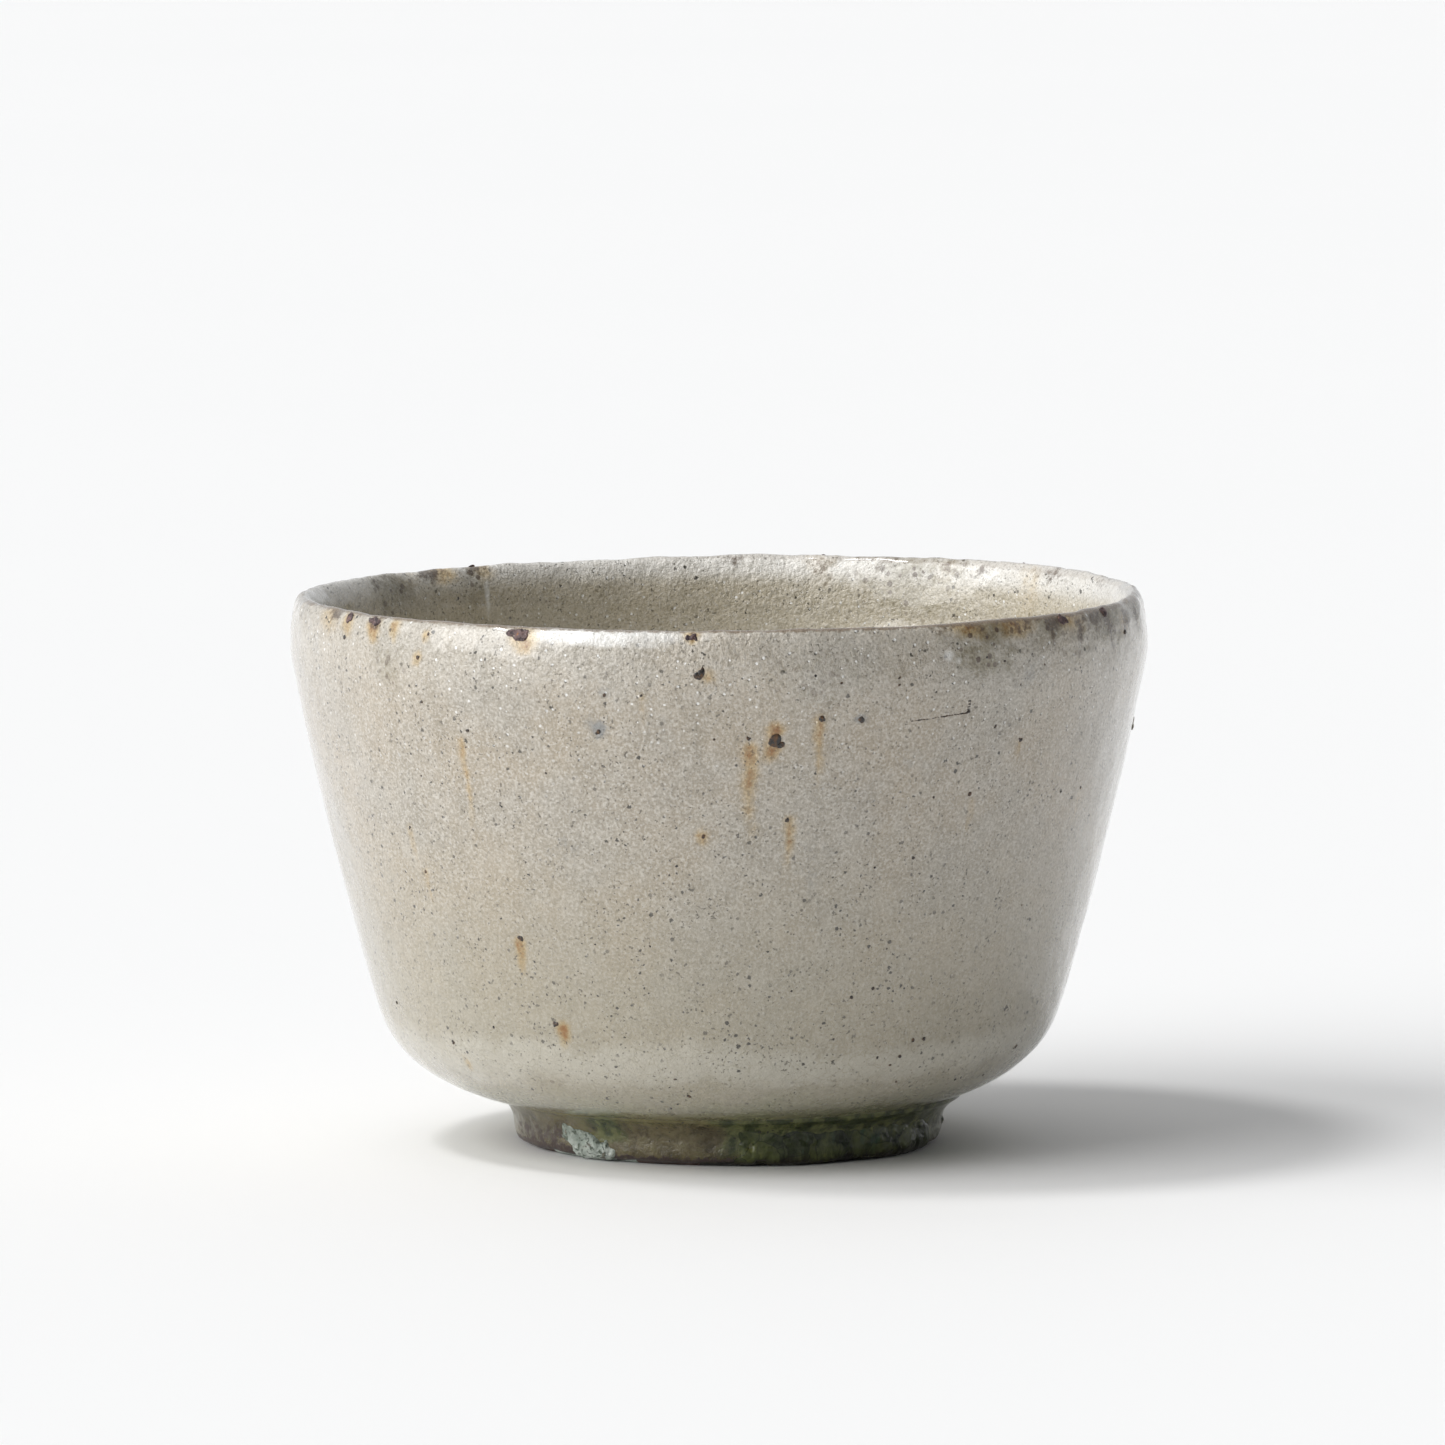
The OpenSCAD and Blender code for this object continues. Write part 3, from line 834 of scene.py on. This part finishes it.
def pooled_glass(name):
    """Olive and teal glass, broken into angular planes by crackle."""
    mix = Recipe(name)
    bent = mix.bent(2.2 * MM, 1.2 * MM)
    cells = mix.cells(3.4 * MM, place=bent)
    luck = mix.node("ShaderNodeSeparateColor", {0: cells.outputs["Color"]})
    patch = mix.noise(4 * MM, 5, 0.65, mix.stretched(1, 1, 0.6), 1.0)
    mix.colour = mix.mix(mix.between(patch, 0.36, 0.62), (0.012, 0.020, 0.006), (0.085, 0.10, 0.036))
    mix.wash(patch, 0.58, 0.7, 0.7, (0.22, 0.22, 0.07))
    mix.wash(mix.sum(mix.height, mix.times(patch, 2.4 * MM)), 6.0 * MM, 7.6 * MM, 0.6,
             (0.17, 0.19, 0.065))
    mix.wash(mix.noise(2.6 * MM, 4, 0.6, mix.stretched(1, 1, 0.4)), 0.55, 0.68, 0.6,
             (0.035, 0.085, 0.055))
    mix.wash(luck.outputs[0], 0.55, 1.0, 0.45, (0.11, 0.125, 0.035))
    crackle = mix.cracks(3.4 * MM, 0.10 * MM, bent)
    mix.lay(mix.times(crackle, 0.6), (0.01, 0.012, 0.006))
    mix.wash(mix.sum(mix.height, mix.times(patch, 3 * MM)), 3.2 * MM, 2.0 * MM, 0.85,
             (0.016, 0.011, 0.007))
    facets = mix.sum(luck.outputs[1], mix.times(mix.noise(1.6 * MM, 3, 0.6), 0.8))
    return mix.fire(0.16, mix.bumped(facets, 0.45 * MM), specular_ior_level=0.35,
                    coat_weight=0.15, coat_roughness=0.05)


def scar_chalk(name):
    """Chalky white scar with green fibres where it tore away."""
    mix = Recipe(name)
    bent = mix.bent(1.3 * MM, 1.1 * MM)
    fibres = mix.noise(0.9 * MM, 4, 0.65, bent, 1.0)
    patch = mix.noise(2.4 * MM, 4, 0.6)
    mix.colour = mix.mix(mix.between(patch, 0.35, 0.65), (0.56, 0.60, 0.55), (0.34, 0.39, 0.34))
    mix.wash(fibres, 0.50, 0.60, 0.85, (0.055, 0.08, 0.05))
    mix.wash(mix.noise(1.4 * MM, 4, 0.7), 0.58, 0.68, 0.8, (0.10, 0.075, 0.04))
    return mix.fire(mix.between(fibres, 0.4, 0.7, 0.7, 0.3), mix.bumped(fibres, 0.7 * MM))


def iron_black(name):
    """Iron that boiled through the glaze: black-brown glass with rust at its edges."""
    mix = Recipe(name)
    spot = mix.noise(0.7 * MM, 3, 0.6)
    mix.colour = mix.mix(mix.between(spot, 0.42, 0.7), (0.012, 0.011, 0.010), (0.11, 0.05, 0.015))
    return mix.fire(mix.between(spot, 0.3, 0.7, 0.18, 0.45),
                    mix.bumped(mix.noise(0.35 * MM, 3, 0.6), 0.12 * MM), coat_weight=0.3,
                    coat_roughness=0.1)


def iron_crust(name):
    """The crust of iron on the lip: purple-brown, with a grey metallic bloom."""
    mix = Recipe(name)
    patch = mix.noise(0.9 * MM, 4, 0.65)
    mix.colour = mix.mix(mix.between(patch, 0.4, 0.6), (0.035, 0.020, 0.022), (0.14, 0.085, 0.08))
    mix.wash(patch, 0.62, 0.72, 0.8, (0.30, 0.13, 0.03))
    return mix.fire(0.36, mix.bumped(patch, 0.4 * MM), metallic=0.15)


def grit_stone(name):
    mix = Recipe(name)
    mix.colour = mix.mix(mix.noise(0.6 * MM, 4, 0.7), (0.46, 0.43, 0.36), (0.24, 0.21, 0.16))
    return mix.fire(0.6, mix.bumped(mix.noise(0.4 * MM, 3, 0.6), 0.3 * MM))


# ---------------------------------------------------------------- the pieces

def shift_joint(piece, section):
    """Moves what lies over the foot, so that it is round about the foot's own axis."""
    take_up(piece)
    bpy.ops.object.mode_set(mode="EDIT")
    near = section.joint + 0.3 * MM
    top = section.underside + 1.2 * MM
    pick(piece, lambda co: math.hypot(co.x, co.y) < near and co.z < top)
    bpy.ops.transform.translate(value=(section.shift, 0, 0))
    bpy.ops.object.mode_set(mode="OBJECT")


class PieceOperator:
    """What every operator of this add-on shares."""

    bl_options = {"REGISTER", "UNDO"}


class MATCHA_OT_clay_bowl(PieceOperator, bpy.types.Operator):
    """Throw the stoneware bowl, with its trimmed underside and the peak inside the foot."""

    bl_idname = "matcha.clay_bowl"
    bl_label = "Clay Bowl"

    def execute(self, context):
        section = Section()
        foot = context.scene.foot_sizes
        skin = inset(section.buried(), section.coats)
        skin[-1].x = 0
        top = section.ring_top
        rings = [Vector((section.ring_inner + 0.9 * MM, top))]
        for ring in range(12, 0, -1):
            r = 2.1 * MM * ring
            groove = 0.14 * MM * math.cos(ring * 2.3) - 0.1 * MM
            rings.append(Vector((r, top - groove)))
        rings.append(Vector((1.4 * MM, top - foot.peak_height)))
        rings.append(Vector((0, top - foot.peak_height - 0.1 * MM)))
        profile = rings[::-1] + [Vector((section.joint, top))] + skin[1:]
        piece = spun("clay_bowl", profile, 160, closed=False)
        shift_joint(piece, section)
        settle(piece)
        finish_piece(piece, "clay_bowl", stoneware("bare stoneware"))
        return {"FINISHED"}


class MATCHA_OT_foot_ring(PieceOperator, bpy.types.Operator):
    """Turn the foot ring that the bowl stands on, with its worn and nicked edge."""

    bl_idname = "matcha.foot_ring"
    bl_label = "Foot Ring"

    def execute(self, context):
        section = Section()
        inner = section.ring_inner
        top = section.ring_top
        at = Vector
        inside = [at((inner - 1.4 * MM, top)), at((inner - 1.25 * MM, top * 0.8)),
                  at((inner - 1.0 * MM, top * 0.5)), at((inner - 0.7 * MM, 1 * MM)),
                  at((inner - 0.45 * MM, 0.35 * MM)), at((inner, 0))]
        land = [at((inner + section.rounding * 0.4, 0))]
        profile = inside + land + section.foot_edge(9) + section.foot_skin(9)[1:]
        profile.append(at((section.joint, top)))
        piece = spun("foot_ring", profile, 256, centre=section.shift)
        co, _, _ = places(piece)
        worn = ease(co[:, 2], 0.02 * MM, 1.4 * MM) * (1 - ease(co[:, 2], 4 * MM, 6 * MM))
        lumpy(piece, "chips", 2.6 * MM, 0.5 * MM, weigh(piece, "worn", worn), 3)
        settle(piece, 50)
        finish_piece(piece, "foot_ring", stoneware("foot stoneware", 0.85))
        return {"FINISHED"}


class MATCHA_OT_white_slip(PieceOperator, bpy.types.Operator):
    """Coat the clay with white slip."""

    bl_idname = "matcha.white_slip"
    bl_label = "White Slip"

    def execute(self, context):
        section = Section()
        path = section.buried()
        skin = inset(path, section.glaze)
        core = inset(path, section.coats)
        skin[0] = Vector((section.joint, section.underside + section.glaze))
        core[0] = Vector((section.joint, section.underside + section.coats))
        skin[-1].x = 0
        core[-1].x = 0
        piece = spun("white_slip", core[::-1] + skin, 160, closed=False)
        shift_joint(piece, section)
        settle(piece)
        finish_piece(piece, "white_slip", slip_white("white slip"))
        return {"FINISHED"}


class MATCHA_OT_outer_glaze(PieceOperator, bpy.types.Operator):
    """Pour the ash glaze over the outside, with its skin of orange peel, runs and iron stains."""

    bl_idname = "matcha.outer_glaze"
    bl_label = "Outer Glaze"

    def execute(self, context):
        section = Section()
        skin = section.outside(*SEEN_OUTSIDE)
        back = inset(section.outside(6, 9, 6), section.glaze)
        back[0] = Vector((section.joint, section.underside + section.glaze))
        piece = spun("outer_glaze", skin + back[::-1], context.scene.bowl_sizes.columns)
        shift_joint(piece, section)
        co, _, radius = places(piece)
        skin_radius = np.interp(co[:, 2], [p.y for p in skin[2:]], [p.x for p in skin[2:]])
        on_skin = ease(radius - skin_radius, -0.3 * MM, -0.05 * MM)
        free = on_skin * ease(co[:, 2], 7.2 * MM, 10 * MM)
        free = free * (1 - ease(co[:, 2], section.height - 2 * MM, section.height - 0.3 * MM))
        weigh(piece, "skin", free)
        lumpy(piece, "glaze folds", 8 * MM, 0.22 * MM, "skin", 1)
        lumpy(piece, "orange peel", 2.4 * MM, 0.12 * MM, "skin", 2)
        settle(piece)
        paint_stains_and_sheen(piece, section)
        finish_piece(piece, "outer_glaze", ash_glaze("ash glaze", False))
        return {"FINISHED"}


class MATCHA_OT_inner_glaze(PieceOperator, bpy.types.Operator):
    """Pour the ash glaze over the inside, down to the pool in the floor."""

    bl_idname = "matcha.inner_glaze"
    bl_label = "Inner Glaze"

    def execute(self, context):
        section = Section()
        skin = section.inside(*SEEN_INSIDE)
        back = inset(section.inside(5, 9, 6, 3), section.glaze)
        back[-1].x = 0
        piece = spun("inner_glaze", skin[::-1] + back, 384, closed=False)
        co, _, _ = places(piece)
        weigh(piece, "skin", 1 - ease(co[:, 2], section.height - 6 * MM, section.height - 0.6 * MM))
        lumpy(piece, "glaze folds", 8 * MM, 0.22 * MM, "skin", 1)
        settle(piece)
        paint_stains_and_sheen(piece, section, 96)
        finish_piece(piece, "inner_glaze", ash_glaze("inside ash glaze", True))
        return {"FINISHED"}


class MATCHA_OT_foot_glaze(PieceOperator, bpy.types.Operator):
    """Let the glaze run thin over the foot ring, down to an uneven line."""

    bl_idname = "matcha.foot_glaze"
    bl_label = "Foot Glaze"

    def execute(self, context):
        section = Section()
        path = joined(section.foot_edge(8)[3:], section.foot_skin(12))
        skin = []
        for point in inset(path, -section.glaze):
            share = min(max((point.y - 2.4 * MM) / (section.underside - 2.4 * MM), 0), 1)
            skin.append(point + Vector((2.3 * MM * share ** 2.2, 0)))
        skin[0] = path[0]
        skin[1] = path[1] + Vector((0.6 * section.glaze, 0))
        skin[-1].y = section.underside + 0.2 * MM
        piece = spun("foot_glaze", path + skin[:0:-1], 360, centre=section.shift)
        co, _, _ = places(piece)
        weigh(piece, "edge", 1 - ease(co[:, 2], 1.0 * MM, 3.4 * MM))
        lumpy(piece, "glaze line", 5 * MM, 1.1 * MM, "edge", 3, "Z")
        weigh(piece, "thick", ease(co[:, 2], 1.4 * MM, 2.4 * MM)
              * (1 - ease(co[:, 2], 5.6 * MM, 6.8 * MM)))
        lumpy(piece, "foot runs", 3 * MM, 0.4 * MM, "thick", 3)
        settle(piece, 60)
        co, turn, _ = places(piece)
        right = ease(turn, 256, 290) * (1 - ease(turn, 345, 358))
        back = ease(turn, 60, 90) * (1 - ease(turn, 120, 160))
        tear = np.exp(-((turn - 239) / 6) ** 2) * ease(co[:, 2], 2 * MM, 4 * MM)
        store(piece, "green", np.maximum(np.maximum(right, 0.7 * back), 0.85 * tear) + 0.14)
        left = ease(turn, 178, 205) * (1 - ease(turn, 218, 240))
        low = 1 - ease(co[:, 2], 0.5 * MM, 1.9 * MM)
        store(piece, "bare", np.clip(low + 0.5 * left * (1 - ease(co[:, 2], 3 * MM, 6 * MM)), 0, 1))
        finish_piece(piece, "foot_glaze", foot_glaze_green("foot glaze"))
        return {"FINISHED"}


def ragged(co, size, seed):
    """Noise about 0 at each place, with lumps of a size in metres."""
    shift = Vector((seed, 0, 0))
    return np.array([noise.fractal(Vector(row) / size + shift, 0.8, 2.0, 3) for row in co])


def foot_patch(name, section, turns, columns, proud, cover):
    """A closed patch on the foot: raised where cover is 1, and under the foot's glaze where it is 0."""
    path = joined(section.foot_edge(8)[1:], section.foot_skin(14))
    outer = [point + Vector((0.12 * MM, 0)) for point in path]
    piece = spun(name, path + outer[::-1], columns, section.shift, turns)
    co, _, _ = places(piece)
    turn = np.degrees(np.arctan2(co[:, 1], co[:, 0] - section.shift)) % 360
    out = np.hypot(co[:, 0] - section.shift, co[:, 1])
    seat = np.interp(co[:, 2], [p.y for p in path], [p.x for p in path])
    raised = ease(out - seat, 0.02 * MM, 0.11 * MM) * cover(turn, co[:, 2], co)
    raised = raised * ease(co[:, 2], 0.1 * MM, 0.9 * MM)
    weigh(piece, "raised", raised)
    apply_modifier(piece, "DISPLACE", strength=proud, mid_level=0.0, vertex_group="raised")
    return piece


class MATCHA_OT_green_glass(PieceOperator, bpy.types.Operator):
    """Pool the green glass along the right front of the foot."""

    bl_idname = "matcha.green_glass"
    bl_label = "Green Glass"

    def execute(self, context):
        section = Section()

        def cover(turn, height, co):
            edge = ragged(co, 4 * MM, 3.0)
            top = 6.2 * MM + edge * 1.2 * MM
            shore = ease(turn + 9 * edge, 269, 277) * (1 - ease(turn + 9 * edge, 333, 341))
            return shore * (1 - ease(height, top - 1.2 * MM, top))

        piece = foot_patch("green_glass", section, (262, 84), 240, 0.85 * MM, cover)
        lumpy(piece, "glass drips", 4.5 * MM, 0.8 * MM, "raised", 2)
        lumpy(piece, "glass facets", 1.8 * MM, 0.4 * MM, "raised", 1)
        settle(piece, 50)
        finish_piece(piece, "green_glass", pooled_glass("pooled green glass"))
        return {"FINISHED"}


def lump(centre, out, width, thickness, spin=0.0, sides=12, rings=6):
    """A flattened ball of glass or grit, lying on the skin at a place."""
    bare_selection()
    turn = (out.to_track_quat("Z", "Y") @ Euler((0, 0, spin)).to_quaternion()).to_euler()
    bpy.ops.mesh.primitive_uv_sphere_add(segments=sides, ring_count=rings, radius=0.5,
                                         location=centre, rotation=turn)
    ball = bpy.context.object
    ball.scale = (width[0], width[1], thickness)
    bpy.ops.object.transform_apply(location=True, rotation=True, scale=True)
    return ball


def gather(balls, name):
    """Joins lumps into one piece."""
    bare_selection()
    for ball in balls:
        ball.select_set(True)
    bpy.context.view_layer.objects.active = balls[0]
    if len(balls) > 1:
        bpy.ops.object.join()
    piece = bpy.context.object
    piece.name = name
    piece.data.name = name
    return piece


def on_skin(section, turn, height):
    """The place on the skin at a turn in degrees and a height, and the way straight out of it."""
    radius, out = section.skin_at(height)
    a = math.radians(turn)
    normal = Vector((math.cos(a) * out.x, math.sin(a) * out.x, out.y))
    return Vector((math.cos(a) * radius, math.sin(a) * radius, height)), normal


class MATCHA_OT_iron_spots(PieceOperator, bpy.types.Operator):
    """Bleed the iron spots and specks through the glaze."""

    bl_idname = "matcha.iron_spots"
    bl_label = "Iron Spots"

    def execute(self, context):
        section = Section()
        chance = random.Random(7)
        balls = []
        for turn, percent, size in IRON_SPOTS + IRON_SPECKS:
            height = min(percent / 100 * section.height, section.height - 1.0 * MM)
            for part in range(3 if size > 0.75 else 1):
                stray = 0.26 * size * min(part, 1)
                spot_turn = turn + chance.uniform(-stray, stray)
                place, out = on_skin(section, spot_turn, height + chance.uniform(-stray, stray) * MM)
                share = 0.66 if size > 0.75 and part == 0 else (0.45 if part else 0.85)
                wide = share * size * MM * chance.uniform(0.75, 1.2)
                tall = share * size * MM * chance.uniform(0.65, 1.15)
                balls.append(lump(place, out, (wide, tall), (0.13 + 0.09 * size) * MM,
                                  chance.uniform(0, math.pi), 12 if size > 0.75 else 8, 6))
        balls.extend(self.scratch(section))
        piece = gather(balls, "iron_spots")
        lumpy(piece, "spot edges", 0.6 * MM, 0.28 * MM, "", 2)
        settle(piece)
        finish_piece(piece, "iron_spots", iron_black("boiled iron"))
        return {"FINISHED"}

    def scratch(self, section):
        """The dark scratch beside the spots: a level stroke that curls up at its right end."""
        balls = []
        for i in range(26):
            along = i / 25
            turn = 296.3 + 8.6 * min(along * 1.25, 1)
            rise = 0.7 * along + 1.5 * (max(along - 0.74, 0) / 0.26) ** 2
            place, out = on_skin(section, turn, 0.832 * section.height + rise * MM)
            balls.append(lump(place, out, (0.6 * MM, 0.2 * MM), 0.22 * MM, 0.0, 8, 6))
        return balls


class MATCHA_OT_lip_iron(PieceOperator, bpy.types.Operator):
    """Crust the lip with drops of iron."""

    bl_idname = "matcha.lip_iron"
    bl_label = "Lip Iron"

    def execute(self, context):
        section = Section()
        chance = random.Random(11)
        balls = []
        for turn, size in LIP_DROPS:
            for part in range(3):
                wander = 0.0 if part == 0 else chance.uniform(-0.45, 0.45) * size
                place, out = on_skin(section, turn + wander,
                                     section.height - chance.uniform(0.5, 1.0) * MM)
                share = size * (0.85 if part == 0 else 0.55) * MM
                balls.append(lump(place, out, (share, share * 0.7), 0.36 * MM,
                                  chance.uniform(0, math.pi), 22, 12))
        piece = gather(balls, "lip_iron")
        lumpy(piece, "crust lumps", 0.8 * MM, 0.55 * MM, "", 3)
        settle(piece, 60)
        finish_piece(piece, "lip_iron", iron_crust("iron crust"))
        return {"FINISHED"}


class MATCHA_OT_stilt_scar(PieceOperator, bpy.types.Operator):
    """Leave the chalky scar on the left front of the foot."""

    bl_idname = "matcha.stilt_scar"
    bl_label = "Stilt Scar"

    def execute(self, context):
        section = Section()

        def cover(turn, height, co):
            edge = ragged(co, 2.2 * MM, 8.0)
            slant = 228.5 + (2.6 * MM - height) / MM * 2.2
            reach = np.hypot((turn - slant) / 8.0, (height - 2.5 * MM) / (2.7 * MM))
            return 1 - ease(reach + 0.35 * edge, 0.82, 1.02)

        piece = foot_patch("stilt_scar", section, (214, 30), 120, 0.75 * MM, cover)
        lumpy(piece, "scar tears", 1.3 * MM, 0.8 * MM, "raised", 3)
        settle(piece, 45)
        finish_piece(piece, "stilt_scar", scar_chalk("scar chalk"))
        return {"FINISHED"}


class MATCHA_OT_kiln_grit(PieceOperator, bpy.types.Operator):
    """Stick the grain of kiln grit to the right side of the wall."""

    bl_idname = "matcha.kiln_grit"
    bl_label = "Kiln Grit"

    def execute(self, context):
        section = Section()
        low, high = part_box("kiln_grit")
        centre = (low + high) / 2
        place, out = on_skin(section, 0, centre.z)
        grain = lump(place, out, (1.2 * MM, 1.5 * MM), 0.42 * MM, 0.0, 32, 20)
        ledge = lump(place - Vector((0, 0, 0.8 * MM)), out, (0.9 * MM, 1.0 * MM), 0.36 * MM, 0.0, 24, 14)
        piece = gather([grain, ledge], "kiln_grit")
        lumpy(piece, "grit", 0.8 * MM, 0.2 * MM, "", 2)
        settle(piece, 50)
        finish_piece(piece, "kiln_grit", grit_stone("kiln grit"))
        return {"FINISHED"}


class MATCHA_OT_glass_bead(PieceOperator, bpy.types.Operator):
    """Hang the bead of glass at the right side of the foot."""

    bl_idname = "matcha.glass_bead"
    bl_label = "Glass Bead"

    def execute(self, context):
        low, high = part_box("glass_bead")
        centre = (low + high) / 2
        size = high - low
        out = unit(Vector((centre.x, centre.y, 0)))
        place = centre - out * 0.55 * MM
        bead = lump(place, out, (size.z * 0.8, size.z * 1.1), size.x * 1.1, 0.0, 32, 20)
        piece = gather([bead], "glass_bead")
        lumpy(piece, "bead", 1.2 * MM, 0.3 * MM, "", 2)
        settle(piece, 60)
        finish_piece(piece, "glass_bead", pooled_glass("bead glass"))
        return {"FINISHED"}


class MATCHA_OT_stage(PieceOperator, bpy.types.Operator):
    """Set the pale table, the soft lights and the camera."""

    bl_idname = "matcha.stage"
    bl_label = "Stage"

    def execute(self, context):
        studio = context.scene.studio_settings
        bare_selection()
        bpy.ops.mesh.primitive_circle_add(vertices=96, radius=40, fill_type="NGON")
        floor = context.object
        floor.name = "table"
        mix = Recipe("pale table")
        mix.colour = mix.mix(mix.noise(0.4, 2, 0.5), (0.885, 0.882, 0.878), (0.872, 0.87, 0.868))
        floor.data.materials.append(mix.fire(0.75))

        add_light("window", (-0.9, -0.44, 0.62), studio.window_strength, studio.window_angle)
        add_light("ceiling", (-0.40, -0.02, 0.95), studio.ceiling_strength, studio.ceiling_angle)
        set_world()
        aim = Vector((0.5 * MM, 0, studio.aim_height))
        eye = Vector((0.5 * MM, -studio.camera_distance, studio.camera_height))
        bpy.ops.object.camera_add(location=eye)
        camera = context.object
        camera.name = "camera"
        camera.rotation_euler = (aim - eye).to_track_quat("-Z", "Y").to_euler()
        camera.data.sensor_width = 36
        camera.data.lens = studio.lens
        camera.data.clip_end = 100
        context.scene.camera = camera
        context.scene.view_settings.view_transform = "Standard"
        return {"FINISHED"}


def add_light(name, place, strength, width):
    """A broad, even light from a place, turned towards the bowl."""
    bare_selection()
    bpy.ops.object.light_add(type="SUN", location=place)
    light = bpy.context.object
    light.name = name
    target = Vector((0, 0, 0.04))
    light.rotation_euler = (target - Vector(place)).to_track_quat("-Z", "Y").to_euler()
    light.data.energy = strength
    light.data.angle = width


def set_world():
    """A white room: bright behind the bowl, dimmer in front and to the right."""
    world = bpy.data.worlds.new("white room")
    bpy.context.scene.world = world
    world.use_nodes = True
    room = Nodes(world.node_tree)
    way = room.node("ShaderNodeTexCoord").outputs["Generated"]
    lean = room.node("ShaderNodeVectorMath", {0: way, 1: (-0.45, 0.75, 0.35)},
                     operation="DOT_PRODUCT").outputs["Value"]
    glow = room.between(lean, -0.75, 0.85, 0.115, 0.66)
    walls = room.node("ShaderNodeBackground", {"Color": (0.97, 0.985, 1.0, 1), "Strength": glow})
    backdrop = room.node("ShaderNodeBackground", {"Color": (0.95, 0.95, 0.955, 1)})
    seen = room.node("ShaderNodeLightPath").outputs["Is Camera Ray"]
    either = room.node("ShaderNodeMixShader", {0: seen, 1: walls.outputs[0], 2: backdrop.outputs[0]})
    room.node("ShaderNodeOutputWorld", {"Surface": either.outputs[0]})


STEPS = (
    MATCHA_OT_stage,
    MATCHA_OT_clay_bowl,
    MATCHA_OT_foot_ring,
    MATCHA_OT_white_slip,
    MATCHA_OT_outer_glaze,
    MATCHA_OT_inner_glaze,
    MATCHA_OT_foot_glaze,
    MATCHA_OT_green_glass,
    MATCHA_OT_stilt_scar,
    MATCHA_OT_iron_spots,
    MATCHA_OT_lip_iron,
    MATCHA_OT_kiln_grit,
    MATCHA_OT_glass_bead,
)


class MATCHA_PT_bench(bpy.types.Panel):
    """The potter's bench: one button for each step."""

    bl_label = "Matcha Bowl"
    bl_space_type = "VIEW_3D"
    bl_region_type = "UI"
    bl_category = "Matcha Bowl"

    def draw(self, context):
        for step in STEPS:
            self.layout.operator(step.bl_idname)


GROUPS = {
    "bowl_sizes": BowlSizes,
    "foot_sizes": FootSizes,
    "fired_colours": FiredColours,
    "studio_settings": StudioSettings,
}


def register():
    for group in GROUPS.values():
        bpy.utils.register_class(group)
    for name, group in GROUPS.items():
        setattr(bpy.types.Scene, name, PointerProperty(type=group))
    for step in STEPS:
        bpy.utils.register_class(step)
    bpy.utils.register_class(MATCHA_PT_bench)


def unregister():
    bpy.utils.unregister_class(MATCHA_PT_bench)
    for step in reversed(STEPS):
        bpy.utils.unregister_class(step)
    for name in GROUPS:
        delattr(bpy.types.Scene, name)
    for group in reversed(list(GROUPS.values())):
        bpy.utils.unregister_class(group)


def main():
    register()
    cage = make_cage()
    for step in STEPS:
        family, name = step.bl_idname.split(".")
        getattr(getattr(bpy.ops, family), name)()
    bpy.data.objects.remove(cage)


if __name__ == "__main__":
    main()
